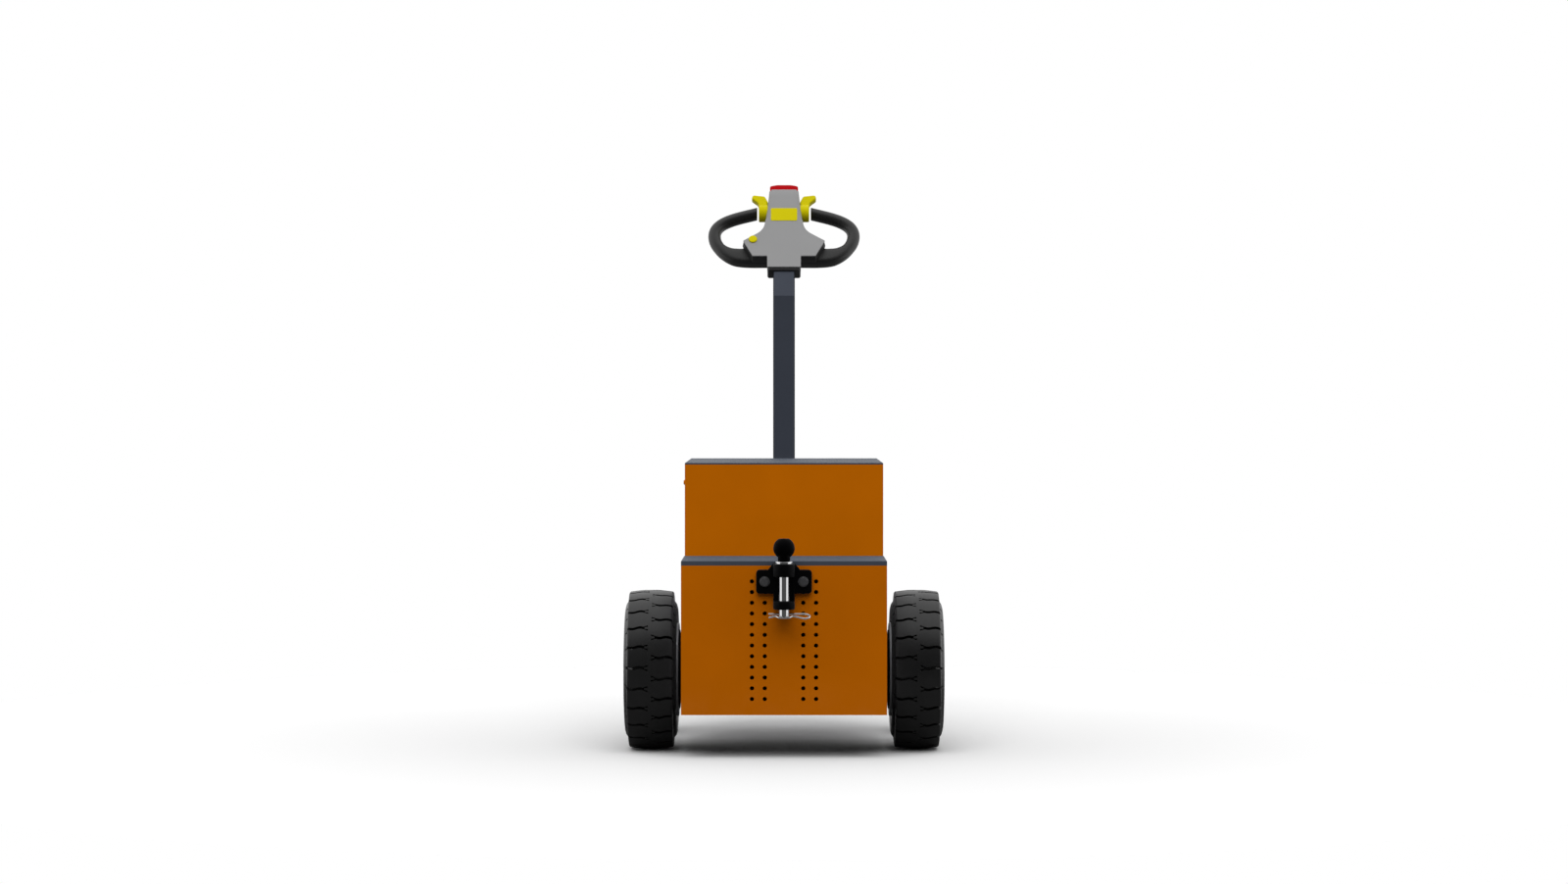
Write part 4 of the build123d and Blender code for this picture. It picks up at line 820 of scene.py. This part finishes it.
sleeve_x, sleeve_front = 41.4, 26
rows = []
for up, less in ((79.8, 0), (74, 0), (72.6, 0.6), (72, 2)):
    foot = np.interp(up, (72, 79.8), (-10, -20))
    ring = rounded(
        ((sleeve_x, foot), (sleeve_x, sleeve_front), (-sleeve_x, sleeve_front), (-sleeve_x, foot)),
        4.0,
    )
    ring = inset(ring, less)
    rows.append(np.column_stack((ring[:, 0], np.full(len(ring), up), ring[:, 1])))
piece(
    "stem_collar", (to_head(np.stack(rows)),), cap_plastic, "tiller",
    ("head_collar",),
)

yellow = finish(
    "control_yellow", (0.66, 0.58, 0.002), 0.42, grain=600.0, depth=0.00003, mottle=0.03,
    Specular_IOR_Level=0.06,
)
red = finish(
    "button_red", (0.46, 0.002, 0.005), 0.42, grain=600.0, depth=0.00002, mottle=0.03,
    Specular_IOR_Level=0.06,
)
bar = rounded(((-34.5, 229.5), (34.5, 229.5), (34.5, 271), (-34.5, 271)), 4.0)
piece(
    "horn_key", (slab(bar, 27.0, 31.4, 1.0, to_head),), yellow, "tiller",
    ("horn_bar",),
)
cap = mirrored(((37, 328), (37, 347.5), (20, 352.0)), (4.2, 5, 60))
piece(
    "belly_switch", (slab(cap, -18.0, 27.0, 3.0, to_head),), red, "tiller",
    ("belly_button",),
)
# Round button: height off the wing, radius
dome = np.array(((0, 0), (0, 11), (3.2, 11), (4.4, 10.2), (4.9, 7), (5.0, 0)))
height, radius = dome[:, :1], dome[:, 1:]
button_x, button_up, wing_face = -81, 168, 29.5
angle = np.linspace(0, 2 * pi, 40, endpoint=False)
ring = np.stack((
    button_x + radius * np.cos(angle), button_up + radius * np.sin(angle),
    np.broadcast_to(wing_face + height, (len(dome), len(angle))),
), 2)
piece("wing_button", (to_head(ring),), yellow, "tiller", ("round_button",))

# Thumb levers: moulded yellow paddles on hubs that turn on the head's bosses. The paddle
# rises from the hub, draws in at a waist and ends in a round tip that points outward.
paddle = rounded(
    (
        (43.0, 258), (41.8, 309), (50.5, 328.3), (83.5, 333), (84.8, 319.5), (66.6, 303.5),
        (65.6, 258),
    ),
    (6, 14, 7, 6.5, 6.5, 16, 6),
)
# Hub: distance out from the middle, radius
lever_hub = np.array(((42.2, 0), (42.2, 22.5), (66, 22.5), (66, 0)))
for side, out in (("left", -1), ("right", 1)):
    hub = rounded(lever_hub * (out, 1), (0.1, 1.5, 3.0, 0.1), closed=False)
    piece(
        f"thumb_paddle_{side}",
        (slab(paddle * (out, 1), -9.2, 9.2, 4.5, to_head), turned(hub, lever_axis, "x", 64)),
        yellow, "tiller", (f"thumb_lever_{side}",),
    )

# Hoop grips: soft black grips moulded round a bent steel bar. Each leaves the head's foot
# as a wide flat root, narrows to a round bar, bends round the hand and ends beside the
# lever with a flat cut end.
grip_rubber = finish(
    "grip_rubber", (0.006, 0.006, 0.006), 0.4, grain=1300.0, depth=0.00010, mottle=0.12,
    Specular_IOR_Level=0.7,
)


def bezier(points, count=60):
    """Cubic curve: the mean of its four points with the weights (1 - t)^3, 3 (1 - t)^2 t,
    3 (1 - t) t^2 and t^3."""
    t = np.linspace(0, 1, count)[:, None]
    a, b, c, d = np.asarray(points, float)
    return (1 - t) ** 3 * a + 3 * (1 - t) ** 2 * t * b + 3 * (1 - t) * t**2 * c + t**3 * d


# Middle line of the right bar: across, up the stem
bar = evenly(
    np.vstack((
        bezier(((45, 143.2), (68, 141), (92, 138), (106.8, 138))),
        bezier(((106.8, 138), (150.5, 138), (182, 172.3), (182, 208.7)))[1:],
        bezier(((182, 208.7), (182, 253.7), (125.5, 266.5), (70.5, 283)))[1:],
    )), 130,
)
bar_x, bar_up = bar.T
bar_level, bar_half = -10.7, 16.7
reach = np.where(bar_up < 200, bar_x, 200)
half_height = np.interp(reach, (45, 80, 110, 128, 150, 168), (30, 27, 23.4, 22.6, 18.8, 16.5))
squareness = np.interp(reach, (45, 110, 140, 168), (5, 4.2, 3, 2))
# The free end is sheared over its last 25 mm, by 0.3 across the bar, to a cut that stands
# upright. The end heads inward and up, along (-0.958, 0.287).
end_x, end_up, run_out, shear = 70.5, 283, 25, 0.3
ahead_x, ahead_up = 0.958, 0.287
end_height = to_head((0, end_up, bar_level)) @ up_stem
for side, out in (("left", -1), ("right", 1)):
    path = np.column_stack((out * bar_x, bar_up, np.full(len(bar), bar_level)))
    grip = carried(to_head(path), half_height, bar_half, off_face, squareness, 40, 1.5)
    x = out * grip[..., 0] - end_x
    up = grip @ up_stem - end_height
    near = np.clip(1 - (ahead_x * x - ahead_up * up) / run_out, 0, 1) * (up > -40)
    slide = shear * (ahead_up * x + ahead_x * up) * near
    grip = grip + slide[..., None] * (np.array((-ahead_x * out, 0, 0)) + ahead_up * up_stem)
    piece(f"hoop_{side}", (grip,), grip_rubber, "tiller", (f"hoop_grip_{side}",))

# Studio: a white floor under a white sky, a wide soft light overhead and the camera
# level with the lid, looking along the machine from the hitch. The floor is painted a
# little darker near the machine and lighter further out: painted shade round the machine.
plane = bpy.data.meshes.new("studio_floor")
around, floor_r = np.linspace(0, 2 * pi, 96, endpoint=False), 2.4
disc = np.column_stack((floor_r * np.cos(around), floor_r * np.sin(around), 0 * around))
plane.from_pydata(disc.tolist(), [], [tuple(range(len(around)))])
floor_white = bpy.data.materials.new("studio_white")
floor_white.use_nodes = True
tree = floor_white.node_tree
tree.nodes.clear()
place = node(tree, "ShaderNodeTexCoord")
grain = node(tree, "ShaderNodeTexNoise", (("Vector", place.outputs["Object"]),), Scale=300.0)
ridge = node(
    tree, "ShaderNodeBump", (("Height", grain.outputs["Fac"]),), Strength=0.2, Distance=0.0002,
)
away = node(tree, "ShaderNodeVectorMath", ((0, place.outputs["Object"]),), operation="LENGTH")
# Painted shade: the floor's colour runs from 0.80 within half a metre of the machine to 0.92 at 1.7
# m
painted_floor_shade = ramp(tree, away.outputs["Value"], 0.5, 1.7, 0.80, 0.92)
shown = node(tree, "ShaderNodeBsdfDiffuse", (("Color", painted_floor_shade), ("Normal", ridge.outputs[0])))
cast = node(tree, "ShaderNodeBsdfDiffuse", Color=(0.15, 0.15, 0.15, 1.0))
seen = node(tree, "ShaderNodeLightPath")
either = node(
    tree, "ShaderNodeMixShader",
    ((0, seen.outputs["Is Camera Ray"]), (1, cast.outputs[0]), (2, shown.outputs[0])),
)
node(tree, "ShaderNodeOutputMaterial", ((0, either.outputs[0]),))
plane.materials.append(floor_white)
floor = bpy.data.objects.new("studio_floor", plane)
bpy.context.scene.collection.objects.link(floor)
floor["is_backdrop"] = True

# White sky: dim in front of the machine and bright behind it, with a sharper border in
# what is mirrored
sky = bpy.data.worlds.new("white_sky")
bpy.context.scene.world = sky
sky.use_nodes = True
tree = sky.node_tree
tree.nodes.clear()
seen = node(tree, "ShaderNodeLightPath")
place = node(tree, "ShaderNodeTexCoord")
way = node(tree, "ShaderNodeSeparateXYZ", ((0, place.outputs["Generated"]),))
lit = ramp(tree, way.outputs["Y"], -0.62, -0.35, 0.06, 0.8)
reflected = ramp(tree, way.outputs["Y"], -0.62, -0.48, 0.075, 0.95)
glow = blend(tree, seen.outputs["Is Glossy Ray"], lit, reflected, "FLOAT")
white = (1, 1, 1, 1)
lighting = node(tree, "ShaderNodeBackground", (("Strength", glow),), Color=white)
backdrop = node(tree, "ShaderNodeBackground", Color=white, Strength=1.0)
both = node(
    tree, "ShaderNodeMixShader",
    ((0, seen.outputs["Is Camera Ray"]), (1, lighting.outputs[0]), (2, backdrop.outputs[0])),
)
node(tree, "ShaderNodeOutputWorld", ((0, both.outputs[0]),))

overhead = bpy.data.lights.new("overhead_glow", "SUN")
overhead.energy, overhead.angle = 1.95, radians(60)
lamp = bpy.data.objects.new("overhead_glow", overhead)
lamp.rotation_euler = (radians(36), 0, 0)
lamp.visible_glossy = False
bpy.context.scene.collection.objects.link(lamp)

# Camera: metres off the hitch plate and off the floor, and its shift as a part of the width
distance, eye_height, shift = 8.653, 0.860, 52 / 1600
lens = bpy.data.cameras.new("photo_camera")
lens.lens, lens.sensor_width = 85.0, 36.0
lens.shift_y = -shift
camera = bpy.data.objects.new("photo_camera", lens)
camera.location = (0, face_y / 1000 - distance, eye_height)
camera.rotation_euler = (pi / 2, 0, 0)
bpy.context.scene.collection.objects.link(camera)
bpy.context.scene.camera = camera
bpy.context.scene.view_settings.view_transform = "Standard"

low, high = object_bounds()
